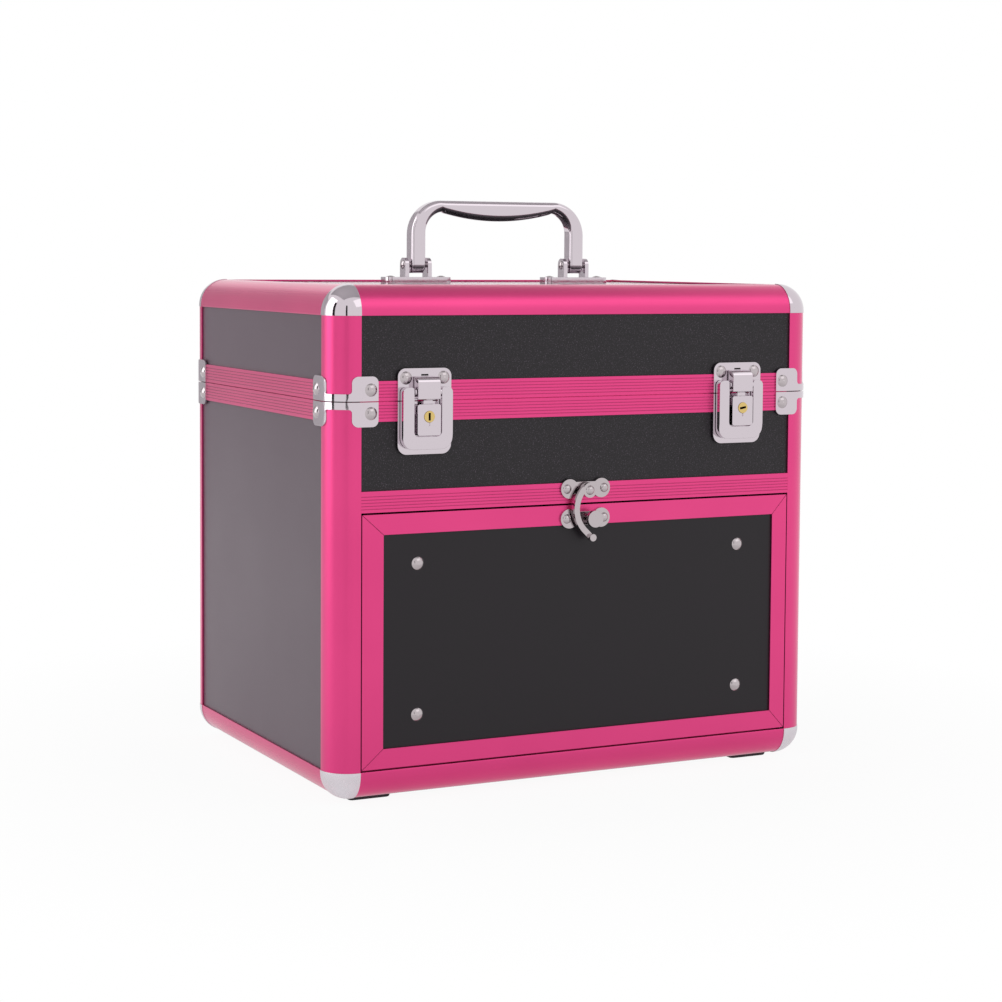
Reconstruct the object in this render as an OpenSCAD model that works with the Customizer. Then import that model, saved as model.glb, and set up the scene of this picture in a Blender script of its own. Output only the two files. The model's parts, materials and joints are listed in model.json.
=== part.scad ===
// Makeup storage case with a carrying handle, a hinged lid and a pull-out drawer.
// Covered boards sit in the slots of aluminium edge profiles; cast caps join the profiles at
// the corners. Origin: centre of the footprint at floor level, front towards -Y, millimetres.

/* [Case] */
// Width of the case over its corner posts
case_w = 344; // [300:1:400]
// Depth of the case, front to back
case_d = 257; // [225:1:300]
// Height of the case without feet and handle
case_h = 315; // [300:1:350]
// Height of the lid above the seam
lid_h = 70.4; // [60:0.1:85]
// Gap between the two rims with the lid closed
seam_gap = 0.6; // [0.4:0.1:1]
// Thickness of the covered boards
board_t = 4; // [3:0.1:4.4]
// Clearance round a board in its slot
board_fit = 0.1; // [0.05:0.05:0.2]
// Thickness of the foam lining
lining_t = 2; // [1:0.5:4]

/* [Edge profile] */
// Leg width of the corner profile
edge_w = 18.6; // [18:0.1:22]
// Outer radius of the corner profile
edge_r = 17.4; // [15:0.1:17.8]
// Wall of the profiles
wall_t = 1.2; // [1:0.1:1.5]
// Depth of the board slots in the corner profile
slot_depth = 5; // [4:0.5:6]
// How far the corner caps stand proud of the profiles
cap_proud = 0.4; // [0.2:0.1:0.8]
// Length of the cap's spigots inside the profiles
spigot_l = 6; // [3:1:12]

/* [Rims] */
// Height of each rim rail at the seam
rim_h = 12; // [11:0.5:14]
// Thickness of the rim's closed edge
rim_web = 3.2; // [2.8:0.1:3.6]
// Height of the tongue on the base rim
tongue_h = 2; // [1.5:0.1:2.2]
// Thickness of the tongue
tongue_t = 1.4; // [1:0.1:1.6]
// Spacing of the ribs on the ribbed rails
rib_pitch = 1.9; // [1.5:0.1:2.5]
// Width of the groove between two ribs
rib_gap = 0.5; // [0.3:0.1:0.7]
// Depth of the groove between two ribs
rib_depth = 0.35; // [0.2:0.05:0.5]

/* [Drawer] */
// Height of the drawer bay's top above the case bottom
bay_top = 177.2; // [165:0.1:190]
// Height of the header rail over the drawer
header_h = 13; // [12:0.5:16]
// Gap above and below the drawer front
drawer_gap = 1.2; // [0.8:0.1:2]
// Gap at each side of the drawer front
drawer_side_gap = 0.7; // [0.5:0.1:1.5]
// Face width of the drawer front's frame
frame_w = 12.6; // [12:0.1:16]
// Wall of the moulded drawer bin
bin_wall = 2.5; // [2:0.1:4]
// Height of the drawer bin
bin_h = 140; // [100:1:144]
// How far the drawer pulls out
drawer_travel = 170; // [100:1:180]
// Width of the step that the drawer runs on
guide_ledge = 12; // [8:1:16]
// Distance of the drawer front's rivets from the case's side
front_rivet_inset = 56.7; // [48:0.1:80]
// Height spacing of the drawer front's rivets
front_rivet_dz = 93.6; // [70:0.1:100]

/* [Feet] */
// Height of the rubber feet below the case
foot_h = 3; // [2:0.5:6]
// Width of the square rubber feet
foot_w = 29; // [20:0.5:34]

/* [Handle] */
// Distance between the handle's two pivots
handle_span = 119.4; // [100:0.1:140]
// Height of the pivots above the lid's top edge
pivot_rise = 11.6; // [11:0.1:16]
// Height of the handle's top above its pivots
handle_rise = 42.8; // [36:0.1:60]
// Thickness of the handle's legs
leg_w = 10.2; // [6:0.1:11]
// Depth of the handle, front to back
handle_depth = 11.6; // [10:0.1:14]
// Radius of the handle's outer bends
bend_r = 22.4; // [16:0.1:26]
// Thickness of the bar where it leaves the bends
bar_end_t = 8.2; // [5:0.1:9]
// How far the grip bellies down in the middle
grip_belly = 5.3; // [2:0.1:7]
// Radius of the handle's pivot pins
handle_pin_r = 2; // [1.5:0.1:2.5]

/* [Latches] */
// Distance of each latch's middle from the case's side
latch_inset = 59.8; // [52:0.1:100]
// Width of the latch plates
latch_w = 35.7; // [34:0.1:40]
// Height of the strike plate on the lid
strike_h = 19.5; // [18:0.1:22]
// Height of the plate on the base
latch_plate_h = 32.5; // [31:0.1:36]
// Outer width of the lever
lever_w = 33; // [31:0.1:34]
// Width of the lever's opening
lever_open_w = 18.3; // [18:0.1:20]
// Width of the hook tab
tab_w = 15.1; // [13:0.1:15.3]
// Radius of the key plug
plug_r = 3.5; // [3:0.1:4]

/* [Swing hook] */
// Radius of the hook's curved arm
hook_arm_r = 18.6; // [17:0.1:20]
// Width of the hook's arm
hook_arm_w = 3.8; // [3:0.1:4.5]
// Radius of the stud's head
stud_head_r = 5.4; // [4:0.1:5.6]

/* [Hinges] */
// Distance of each hinge from the middle
hinge_x = 100; // [60:1:110]
// Width of a hinge
hinge_w = 50; // [40:1:60]
// Radius of the hinge barrel
barrel_r = 3; // [2.6:0.1:3.4]
// Radius of the hinge pin
hinge_pin_r = 1.25; // [1:0.05:1.5]

/* [Fits] */
// Radial clearance of a turning pin
pin_fit = 0.05; // [0.02:0.01:0.08]
// Gap between flat sliding or swinging faces
side_fit = 0.3; // [0.2:0.05:0.5]

/* [Hidden] */
$fn = 64;

pink = "#DB3F7C";
black = "#2F2C30";
chrome = "#D8D6DA";
nickel = "#B9B1AC";

// Heights of the case's main levels
z_floor = foot_h;
z_top = foot_h + case_h;
z_seam = z_top - lid_h;
z_header = z_floor + bay_top;
z_base_rim = z_seam - seam_gap / 2;
z_lid_rim = z_seam + seam_gap / 2;

// Board slots: the board lies behind one wall, and a second wall closes the slot inside
slot_t = board_t + 2 * board_fit;
board_face = wall_t + board_fit;
inner_off = 2 * wall_t + slot_t;
board_seat = edge_w - slot_depth + 2 * board_fit;
inner_clear = inner_off + board_fit;
rim_seat = rim_web + 2 * board_fit;
lining_r = edge_r / 2;

// Battens under the shelf
batten_w = 9.5;
batten_h = 10;
back_of_board = board_face + board_t;

// Header rail
header_slot = header_h / 2;
ledge_w = 8;
z_shelf = z_header + wall_t + board_fit;

// Drawer
bay_half_w = case_w / 2 - edge_w;
front_half_w = bay_half_w - drawer_side_gap;
z_front_bottom = z_floor + edge_w + drawer_gap;
z_front_top = z_header - drawer_gap;
front_y = -case_d / 2;
z_guide = z_floor + edge_w + side_fit;
z_bin = z_guide + side_fit;
bin_half_w = bay_half_w - 4;
bin_front_y = front_y + inner_off + board_fit;
bin_rear_y = case_d / 2 - back_of_board - batten_w - 2 * side_fit;
stop_t = 8;
stop_w = 40;
stop_drop = 12;
tab_rise = 6;
z_stop = z_shelf - stop_drop;
stop_y = bin_rear_y - bin_wall - side_fit - drawer_travel - stop_t;
front_rivet_x = case_w / 2 - front_rivet_inset;
z_front_mid = (z_front_bottom + z_front_top) / 2;
z_front_rivet = [z_front_mid - front_rivet_dz / 2, z_front_mid + front_rivet_dz / 2];
guide_side_h = 20;

// Rivets
dome_r = 4;
dome_h = 1.8;
flat_h = 0.6;
shank_r = 1.9;
shank_fit = 0.05;
low_dome_r = 3.4;
low_dome_h = 1;
hook_dome_r = 3;

// Corner brackets at the seam
bracket_t = 1;
bracket_h = 15;
strap_h = 4.4;
wing_from = 12.3;
wing_to = 29.3;
bracket_corner_r = 4;
bracket_fillet_r = 2;
bracket_rivet_u = 24.4;
bracket_rivet_z = 6.8;

// Handle and its mounts
z_lid_board = z_top - board_face;
mount_l = 48;
mount_w = 17;
mount_t = 4.6;
z_pivot = z_top + pivot_rise;
z_grip = z_pivot + handle_rise;
ear_gap = leg_w / 2 + 1.75;
ear_t = 2.8;
ear_r = 4.6;
eye_r = handle_depth / 2;
belly_margin = 14;
belly_half = handle_span / 2 - leg_w / 2 - belly_margin;
pin_head_r = 3.1;
pin_head_h = 1.5;
mount_rivet_x = 18.5;
mount_corner_r = 6;

// Feet
foot_corner_r = 3;
foot_inset = 0.4;

latch_x = case_w / 2 - latch_inset;

// Latch, as distances outward from the front face and up from the seam
plate_t = 1.2;
lever_pivot = [5.2, 5.6];
link_pivot = [4.8, 2.2];
lever_in = 1.8;
lever_out = 6.6;
lever_top = 8.4;
lever_bottom = -29.6;
lever_inner_bottom = -21.6;
lever_end_r = 3.6;
lever_corner_r = 6;
lever_pin_r = 1;
link_pin_r = 1;
latch_ear_r = 2.1;
latch_ear_t = 1;
latch_pin_depth = 2.4;
tab_front = 8.6;
tab_sheet = 1.2;
tab_bottom = 1.1;
tab_top = 14.8;
tab_tip = 2;
strike_ledge_w = 9;
strike_ledge_out = 5.2;
strike_ledge_t = 2;
lock_w = lever_open_w - 2 * side_fit - 2 * latch_ear_t - 2 * board_fit;
lock_top = -1.8;
lock_bottom = -20.9;
lock_out = 8.2;
lock_corner_r = 3;
plug_z = -9.4;
plug_depth = 6;
plug_proud = 0.5;
keyway_w = 1.3;
keyway_h = 4.6;
keyway_depth = 3;
nose_w = 6;
right_key_turn = 80;
strike_rivet = [12.6, 14];
latch_rivet = [12.8, -8];

// Swing hook and its catch
hook_plate_t = 1.4;
hook_plate_z = 9.2;
lobe_r = 6.2;
lobe_x = 11.4;
waist_h = 8.6;
hook_rivet_x = 13.3;
hook_pivot = [0.7, -0.8];
hook_pivot_r = 1.8;
hook_eye_r = 4.8;
arm_in = 4;
arm_t = 2;
arm_centre = [9.4, -12];
arm_from = 138;
arm_to = 226;
knob_r = 2.3;
knob_l = 4.5;
knob_at = [1.2, -30];
catch_drop = 9.7;
stud_x = 3.2;
stud_neck_r = 2.2;
stud_neck_out = 6.6;
stud_out = 9.4;
z_hook = z_header + hook_plate_z;
z_catch = z_header - catch_drop;

// Hinges
leaf_t = 1.2;
leaf_h = 12.6;
hinge_off = barrel_r + 0.2;
knuckles = 5;
knuckle_gap = 0.5;
knuckle_l = (hinge_w - (knuckles - 1) * knuckle_gap) / knuckles;
leaf_clear = 2.9;
hinge_rivet_x = 0.36 * hinge_w;
hinge_rivet_z = 7;

// Extrudes a (y, z) outline along X
module run_x(length) {
    rotate([90, 0, 90])
        linear_extrude(length, center = true)
            children();
}

// Extrudes an (x, z) outline along Y
module run_y(length) {
    rotate([90, 0, 0])
        linear_extrude(length, center = true)
            children();
}

// Extrudes an (x, z) outline outward from the front, from one depth to another
module outward(from, to) {
    translate([0, -from, 0])
        rotate([90, 0, 0])
            linear_extrude(to - from)
                children();
}

// Extrudes an outline of (outward, z) points along X, from one side to the other
module across(from, to) {
    translate([(from + to) / 2, 0, 0])
        mirror([0, 1, 0])
            run_x(to - from)
                children();
}

module both_sides() {
    children();
    mirror([1, 0, 0])
        children();
}

module front_and_rear() {
    children();
    mirror([0, 1, 0])
        children();
}

module four_corners() {
    both_sides()
        front_and_rear()
            children();
}

// Square with one rounded corner at the origin
module rounded_corner(w, r) {
    difference() {
        square(w);
        difference() {
            square(r);
            translate([r, r])
                circle(r);
        }
    }
}

// Rectangle with four rounded corners, its lower left corner at the origin
module round_rect(w, h, r) {
    translate([r, 0])
        square([w - 2 * r, h]);
    translate([0, r])
        square([w, h - 2 * r]);
    for (x = [r, w - r], y = [r, h - r])
        translate([x, y])
            circle(r);
}

// Hollow between the rounded wall and the board slot, with a clearance for the cap's spigot
module profile_cell(gap) {
    intersection() {
        translate([edge_r, edge_r])
            circle(edge_r - wall_t - gap);
        square([edge_w - slot_depth - wall_t - gap, wall_t + slot_t - gap]);
    }
}

module profile_cells(gap) {
    profile_cell(gap);
    mirror([1, -1])
        profile_cell(gap);
}

// Section of the extruded corner profile with its two board slots
module edge_profile() {
    difference() {
        rounded_corner(edge_w, edge_r);
        translate([inner_off, inner_off])
            square(edge_w);
        translate([edge_w - slot_depth, wall_t])
            square([2 * slot_depth, slot_t]);
        translate([wall_t, edge_w - slot_depth])
            square([slot_t, 2 * slot_depth]);
        profile_cells(0);
    }
}

// Grooves that leave ribs on a rail's face, counted from the rail's edge
module rib_grooves(height) {
    count = floor((height - rib_pitch) / rib_pitch);
    for (i = [1 : count])
        translate([-rib_depth, i * rib_pitch])
            square([2 * rib_depth, rib_gap]);
}

// Section of a rim rail: inward from the face, and away from the seam
module rim_profile() {
    difference() {
        square([inner_off, rim_h]);
        translate([wall_t, rim_web])
            square([slot_t, rim_h]);
        rib_grooves(rim_h);
    }
}

tongue_at = wall_t + slot_t / 2 - tongue_t / 2;

module base_rim_profile() {
    rim_profile();
    translate([tongue_at, -tongue_h])
        square([tongue_t, tongue_h]);
}

module lid_rim_profile() {
    difference() {
        rim_profile();
        translate([tongue_at - side_fit, 0])
            square([tongue_t + 2 * side_fit, tongue_h + side_fit]);
    }
}

// Dome-headed rivet along Z: the head above the origin and the shank below it
module rivet(head_r, head_h, r, length) {
    cap_r = (head_r * head_r + head_h * head_h) / (2 * head_h);
    rotate_extrude() {
        intersection() {
            translate([0, head_h - cap_r])
                circle(cap_r);
            square([head_r, head_h]);
        }
        translate([0, -length])
            square([r, length]);
    }
}

module bore(r) {
    cylinder(h = 6 * inner_off, r = r + shank_fit, center = true);
}

// Places children on a corner's front and side face at a height, outward along Z
module bracket_rivet_places(z) {
    four_corners() {
        translate([-case_w / 2 + bracket_rivet_u, front_y, z])
            rotate([90, 0, 0])
                children();
        translate([-case_w / 2, front_y + bracket_rivet_u, z])
            rotate([0, -90, 0])
                children();
    }
}

// Places children on the front face, outward along Z
module front_place(x, z) {
    translate([x, front_y, z])
        rotate([90, 0, 0])
            children();
}

module rear_place(x, z) {
    translate([x, case_d / 2, z])
        rotate([-90, 0, 0])
            children();
}

module hinge_rivet_places(z) {
    both_sides()
        for (x = [-hinge_rivet_x, hinge_rivet_x])
            rear_place(hinge_x + x, z)
                children();
}

module strike_rivet_places() {
    both_sides()
        for (x = [-strike_rivet[0], strike_rivet[0]])
            front_place(latch_x + x, z_seam + strike_rivet[1])
                children();
}

module latch_rivet_places() {
    both_sides()
        for (x = [-latch_rivet[0], latch_rivet[0]])
            front_place(latch_x + x, z_seam + latch_rivet[1])
                children();
}

module hook_rivet_places() {
    for (x = [-hook_rivet_x, hook_rivet_x])
        front_place(x, z_hook)
            children();
}

module mount_rivet_places() {
    both_sides()
        for (x = [-mount_rivet_x, mount_rivet_x])
            translate([handle_span / 2 + x, 0, z_lid_board])
                children();
}

module drawer_rivet_places() {
    for (x = [-front_rivet_x, front_rivet_x], z = z_front_rivet)
        front_place(x, z)
            children();
}

module catch_rivet_places() {
    for (x = [-hook_rivet_x, hook_rivet_x])
        front_place(x, z_catch)
            children();
}

// Every rivet bore in the lid
module lid_bores() {
    bracket_rivet_places(z_lid_rim + bracket_rivet_z)
        bore(shank_r);
    hinge_rivet_places(z_lid_rim + hinge_rivet_z)
        bore(shank_r);
    strike_rivet_places()
        bore(shank_r);
}

// Every rivet bore in the base
module base_bores() {
    bracket_rivet_places(z_base_rim - bracket_rivet_z)
        bore(shank_r);
    hinge_rivet_places(z_base_rim - hinge_rivet_z)
        bore(shank_r);
    latch_rivet_places()
        bore(shank_r);
}

module header_bores() {
    hook_rivet_places()
        bore(shank_r);
    front_place(hook_pivot[0], z_hook + hook_pivot[1])
        bore(hook_pivot_r);
}

// Boards
module front_board(half_w, z0, z1) {
    translate([-half_w, front_y + board_face, z0])
        cube([2 * half_w, board_t, z1 - z0]);
}

module side_board(z0, z1) {
    translate([-case_w / 2 + board_face, front_y + board_seat, z0])
        cube([board_t, case_d - 2 * board_seat, z1 - z0]);
}

module flat_board(z0) {
    translate([-case_w / 2 + board_seat, front_y + board_seat, z0])
        cube([case_w - 2 * board_seat, case_d - 2 * board_seat, board_t]);
}

board_half_w = case_w / 2 - board_seat;

module bottom_panel() {
    color(black)
        flat_board(z_floor + board_face);
}

module base_back_panel() {
    color(black)
        difference() {
            mirror([0, 1, 0])
                front_board(board_half_w, z_floor + board_seat, z_base_rim - rim_seat);
            base_bores();
        }
}

module base_left_panel() {
    color(black)
        difference() {
            side_board(z_floor + board_seat, z_base_rim - rim_seat);
            base_bores();
        }
}

module base_right_panel() {
    mirror([1, 0, 0])
        base_left_panel();
}

module base_front_panel() {
    color(black)
        difference() {
            front_board(board_half_w, z_header + header_slot + 2 * board_fit, z_base_rim - rim_seat);
            base_bores();
            header_bores();
        }
}

module lid_top_panel() {
    color(black)
        difference() {
            flat_board(z_top - board_face - board_t);
            mount_rivet_places()
                bore(shank_r);
        }
}

module lid_front_panel() {
    color(black)
        difference() {
            front_board(board_half_w, z_lid_rim + rim_seat, z_top - board_seat);
            lid_bores();
        }
}

module lid_back_panel() {
    color(black)
        difference() {
            mirror([0, 1, 0])
                front_board(board_half_w, z_lid_rim + rim_seat, z_top - board_seat);
            lid_bores();
        }
}

module lid_left_panel() {
    color(black)
        difference() {
            side_board(z_lid_rim + rim_seat, z_top - board_seat);
            lid_bores();
        }
}

module lid_right_panel() {
    mirror([1, 0, 0])
        lid_left_panel();
}

module shelf_panel() {
    color(black)
        translate([-case_w / 2 + inner_clear, front_y + inner_clear, z_shelf])
            cube([case_w - 2 * inner_clear, case_d - 2 * inner_clear, board_t]);
}

// Strips under the shelf, on the two side boards and the back board
module shelf_battens() {
    color(black) {
        both_sides()
            translate([-case_w / 2 + back_of_board, front_y + edge_w + 1, z_shelf - batten_h])
                cube([batten_w, case_d - 2 * edge_w - 2, batten_h]);
        translate([-bay_half_w + 1, case_d / 2 - back_of_board - batten_w, z_shelf - batten_h])
            cube([2 * bay_half_w - 2, batten_w, batten_h]);
    }
}

// Upright corner posts of the base
module post(z0, z1) {
    translate([-case_w / 2, front_y, z0])
        linear_extrude(z1 - z0)
            edge_profile();
}

module base_post() {
    color(pink)
        difference() {
            post(z_floor + edge_w, z_base_rim);
            base_bores();
        }
}

module front_left_post() {
    base_post();
}

module front_right_post() {
    mirror([1, 0, 0])
        base_post();
}

module rear_left_post() {
    mirror([0, 1, 0])
        base_post();
}

module rear_right_post() {
    mirror([1, 0, 0])
        mirror([0, 1, 0])
            base_post();
}

module lid_corner_posts() {
    color(pink)
        difference() {
            four_corners()
                post(z_lid_rim, z_top - edge_w);
            lid_bores();
        }
}

// Horizontal edge rails: along the front face and along the left face, at the bottom
module long_rail() {
    color(pink)
        translate([0, front_y, z_floor])
            run_x(case_w - 2 * edge_w)
                edge_profile();
}

module short_rail() {
    color(pink)
        translate([-case_w / 2, 0, z_floor])
            run_y(case_d - 2 * edge_w)
                edge_profile();
}

// Turns what lies along the bottom edge upside down to the lid's top edge
module at_lid_top() {
    translate([0, 0, z_floor + z_top])
        mirror([0, 0, 1])
            children();
}

module bottom_front_rail() {
    long_rail();
}

module bottom_rear_rail() {
    mirror([0, 1, 0])
        long_rail();
}

module bottom_side_rails() {
    both_sides()
        short_rail();
}

module lid_front_rail() {
    at_lid_top()
        long_rail();
}

module lid_rear_rail() {
    mirror([0, 1, 0])
        lid_front_rail();
}

module lid_side_rails() {
    at_lid_top()
        both_sides()
            short_rail();
}

module base_rim_rails() {
    color(pink)
        difference() {
            union() {
                front_and_rear()
                    translate([0, front_y, z_base_rim])
                        mirror([0, 0, 1])
                            run_x(case_w - 2 * edge_w)
                                base_rim_profile();
                both_sides()
                    translate([-case_w / 2, 0, z_base_rim])
                        mirror([0, 0, 1])
                            run_y(case_d - 2 * edge_w)
                                base_rim_profile();
            }
            base_bores();
        }
}

module lid_rim_rails() {
    color(pink)
        difference() {
            union() {
                front_and_rear()
                    translate([0, front_y, z_lid_rim])
                        run_x(case_w - 2 * edge_w)
                            lid_rim_profile();
                both_sides()
                    translate([-case_w / 2, 0, z_lid_rim])
                        run_y(case_d - 2 * edge_w)
                            lid_rim_profile();
            }
            lid_bores();
        }
}

// Ribbed rail over the drawer: holds the front board above and carries the shelf behind
module header_profile() {
    difference() {
        union() {
            square([inner_off, header_h]);
            square([inner_off + ledge_w, wall_t]);
        }
        translate([wall_t, header_slot])
            square([slot_t, header_h]);
        translate([wall_t, wall_t])
            square([slot_t, header_slot - 2 * wall_t]);
        rib_grooves(header_h);
    }
}

module header_rail() {
    color(pink)
        difference() {
            translate([0, front_y, z_header])
                run_x(case_w - 2 * edge_w)
                    header_profile();
            header_bores();
        }
}

// Solid corner whose three edges and corner are rounded with one radius
module corner_block(w, r) {
    translate([0, 0, r])
        linear_extrude(w - r)
            rounded_corner(w, r);
    translate([(w + r) / 2, 0, 0])
        run_x(w - r)
            rounded_corner(w, r);
    translate([0, (w + r) / 2, 0])
        run_y(w - r)
            rounded_corner(w, r);
    translate([r, r, r])
        rotate([0, 0, 180])
            rotate_extrude(angle = 90)
                intersection() {
                    circle(r);
                    translate([0, -r])
                        square(r);
                }
}

// Cast cap over the end of three profiles, with spigots that press into their hollows
module corner_cap() {
    slot_from = edge_w - slot_depth;
    difference() {
        translate([-cap_proud, -cap_proud, -cap_proud])
            corner_block(edge_w + cap_proud, edge_r + cap_proud);
        intersection() {
            translate([inner_off, inner_off, inner_off])
                cube(edge_w);
            translate([wall_t, wall_t, wall_t])
                corner_block(edge_w, edge_r - wall_t);
        }
        translate([slot_from, slot_from, wall_t])
            cube([edge_w, edge_w, slot_t]);
        translate([slot_from, wall_t, slot_from])
            cube([edge_w, slot_t, edge_w]);
        translate([wall_t, slot_from, slot_from])
            cube([slot_t, edge_w, edge_w]);
    }
    reach = spigot_l + wall_t;
    translate([0, 0, edge_w - wall_t])
        linear_extrude(reach)
            profile_cells(board_fit);
    translate([edge_w - wall_t + reach / 2, 0, 0])
        run_x(reach)
            profile_cells(board_fit);
    translate([0, edge_w - wall_t + reach / 2, 0])
        run_y(reach)
            profile_cells(board_fit);
}

module bottom_corner_caps() {
    color(chrome)
        four_corners()
            translate([-case_w / 2, front_y, z_floor])
                corner_cap();
}

module lid_corner_caps() {
    color(chrome)
        at_lid_top()
            four_corners()
                translate([-case_w / 2, front_y, z_floor])
                    corner_cap();
}

// Sheet bracket that wraps a post at the seam, with a wing on each face, rising from z = 0
module wing_outline() {
    translate([wing_from, 0])
        round_rect(wing_to - wing_from, bracket_h, bracket_corner_r);
    translate([wing_from, 0])
        square([wing_to - wing_from, strap_h]);
    translate([wing_from - bracket_fillet_r, strap_h])
        difference() {
            square(bracket_fillet_r);
            translate([0, bracket_fillet_r])
                circle(bracket_fillet_r);
        }
}

module corner_band() {
    difference() {
        translate([-bracket_t, -bracket_t])
            rounded_corner(wing_to + bracket_t, edge_r + bracket_t);
        rounded_corner(wing_to + 1, edge_r);
    }
}

module corner_bracket() {
    linear_extrude(strap_h)
        corner_band();
    intersection() {
        linear_extrude(bracket_h)
            corner_band();
        union() {
            translate([0, wing_from - bracket_t, 0])
                rotate([90, 0, 0])
                    linear_extrude(wing_from)
                        wing_outline();
            translate([-bracket_t, 0, 0])
                rotate([90, 0, 90])
                    linear_extrude(wing_from)
                        wing_outline();
        }
    }
}

module lid_corner_brackets() {
    color(chrome)
        difference() {
            four_corners()
                translate([-case_w / 2, front_y, z_lid_rim])
                    corner_bracket();
            bracket_rivet_places(z_lid_rim + bracket_rivet_z)
                bore(shank_r);
        }
}

module base_corner_brackets() {
    color(chrome)
        difference() {
            four_corners()
                translate([-case_w / 2, front_y, z_base_rim])
                    mirror([0, 0, 1])
                        corner_bracket();
            bracket_rivet_places(z_base_rim - bracket_rivet_z)
                bore(shank_r);
        }
}

// Rivets of the base, with the swing hook's pivot rivet
module base_rivets() {
    color(nickel) {
        bracket_rivet_places(z_base_rim - bracket_rivet_z)
            translate([0, 0, bracket_t])
                rivet(dome_r, dome_h, shank_r, bracket_t + inner_off);
        hinge_rivet_places(z_base_rim - hinge_rivet_z)
            translate([0, 0, leaf_t])
                rivet(low_dome_r, low_dome_h, shank_r, leaf_t + inner_off);
        latch_rivet_places()
            translate([0, 0, plate_t])
                rivet(low_dome_r, flat_h - shank_fit, shank_r, plate_t + inner_off);
        hook_rivet_places()
            translate([0, 0, hook_plate_t])
                rivet(hook_dome_r, dome_h, shank_r, hook_plate_t + back_of_board);
        front_place(hook_pivot[0], z_hook + hook_pivot[1])
            translate([0, 0, arm_in + arm_t + pin_fit])
                rivet(dome_r - 1, dome_h, hook_pivot_r, arm_in + arm_t + back_of_board);
    }
}

module lid_rivets() {
    color(nickel) {
        bracket_rivet_places(z_lid_rim + bracket_rivet_z)
            translate([0, 0, bracket_t])
                rivet(dome_r, dome_h, shank_r, bracket_t + inner_off);
        hinge_rivet_places(z_lid_rim + hinge_rivet_z)
            translate([0, 0, leaf_t])
                rivet(low_dome_r, low_dome_h, shank_r, leaf_t + inner_off);
        strike_rivet_places()
            translate([0, 0, plate_t])
                rivet(dome_r, dome_h, shank_r, plate_t + back_of_board);
        mount_rivet_places()
            translate([0, 0, mount_t])
                rivet(low_dome_r, low_dome_h, shank_r, mount_t + board_t);
    }
}

module rubber_feet() {
    foot_x = bay_half_w - foot_inset;
    foot_y = case_d / 2 - edge_w - foot_inset;
    color("#1C1B1D")
        four_corners()
            translate([-foot_x, -foot_y, 0])
                linear_extrude(foot_h + board_face)
                    round_rect(foot_w, foot_w, foot_corner_r);
}

// Stepped guides for the drawer, standing on the bottom rails' inner legs
module drawer_guides() {
    length = case_d - 2 * edge_w - 2;
    z0 = z_floor + inner_clear;
    step_x = bin_half_w + side_fit;
    outer_x = case_w / 2 - inner_clear;
    color(black)
        both_sides() {
            translate([-outer_x, -length / 2, z0])
                cube([outer_x - step_x + guide_ledge, length, z_guide - z0]);
            translate([-outer_x, -length / 2, z0])
                cube([outer_x - step_x, length, z_guide - z0 + guide_side_h]);
        }
}

// Block under the shelf that the bin's rear tab meets when the drawer is out
module drawer_stop() {
    color(black)
        translate([-stop_w / 2, stop_y, z_stop])
            cube([stop_w, stop_t, stop_drop]);
}

// Foam lining: an open tray in the base and an inverted one in the lid
module lining(z0, z1, floor_z) {
    x = case_w / 2 - inner_clear - board_fit;
    y = case_d / 2 - inner_clear - board_fit;
    difference() {
        translate([-x, -y, z0])
            linear_extrude(z1 - z0)
                round_rect(2 * x, 2 * y, lining_r);
        translate([-x + lining_t, -y + lining_t, floor_z])
            linear_extrude(z1 - z0)
                round_rect(2 * (x - lining_t), 2 * (y - lining_t), lining_r - lining_t);
    }
}

module compartment_lining() {
    z0 = z_shelf + board_t + board_fit;
    color("#3A363B")
        lining(z0, z_base_rim - 2, z0 + lining_t);
}

module lid_lining() {
    z1 = z_top - inner_clear - board_fit;
    color("#3A363B")
        lining(z_lid_rim + 3, z1, z1 - lining_t - (z1 - z_lid_rim - 3));
}

// Moves children to both latches: x from the latch's middle, z from the seam
module at_latches() {
    for (x = [-latch_x, latch_x])
        at_latch(x)
            children();
}

module at_latch(x) {
    translate([x, front_y, z_seam])
        children();
}

module latch_base_plate() {
    difference() {
        outward(0, plate_t)
            translate([-latch_w / 2, -seam_gap / 2 - latch_plate_h]) {
                round_rect(latch_w, latch_plate_h, lever_corner_r);
                translate([0, latch_plate_h / 2])
                    square([latch_w, latch_plate_h / 2]);
            }
        for (x = [-latch_rivet[0], latch_rivet[0]])
            translate([x, 0, latch_rivet[1]])
                rotate([90, 0, 0])
                    bore(shank_r);
    }
    both_sides()
        latch_ear();
}

// Ear that carries the lever, between the hook tab and the lever's leg
module latch_ear() {
    from = lever_open_w / 2 - side_fit - latch_ear_t;
    stem_out = link_pivot[0] - link_pin_r - 2 * side_fit;
    over = link_pivot[1] + link_pin_r + side_fit;
    difference() {
        across(from, from + latch_ear_t) {
            polygon([
                [plate_t / 2, latch_rivet[1]], [stem_out, latch_rivet[1]], [stem_out, over],
                [lever_pivot[0], over], [lever_pivot[0], lever_pivot[1] + latch_ear_r],
                [plate_t + side_fit, over + 1], [plate_t + side_fit, -2 * seam_gap],
                [plate_t / 2, -2 * seam_gap]
            ]);
            translate(lever_pivot)
                circle(latch_ear_r);
        }
        across(from - 1, from + 2 * latch_ear_t)
            translate(lever_pivot)
                circle(lever_pin_r + shank_fit);
    }
}

module latch_base_plates() {
    color(chrome)
        at_latches()
            latch_base_plate();
}

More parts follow.
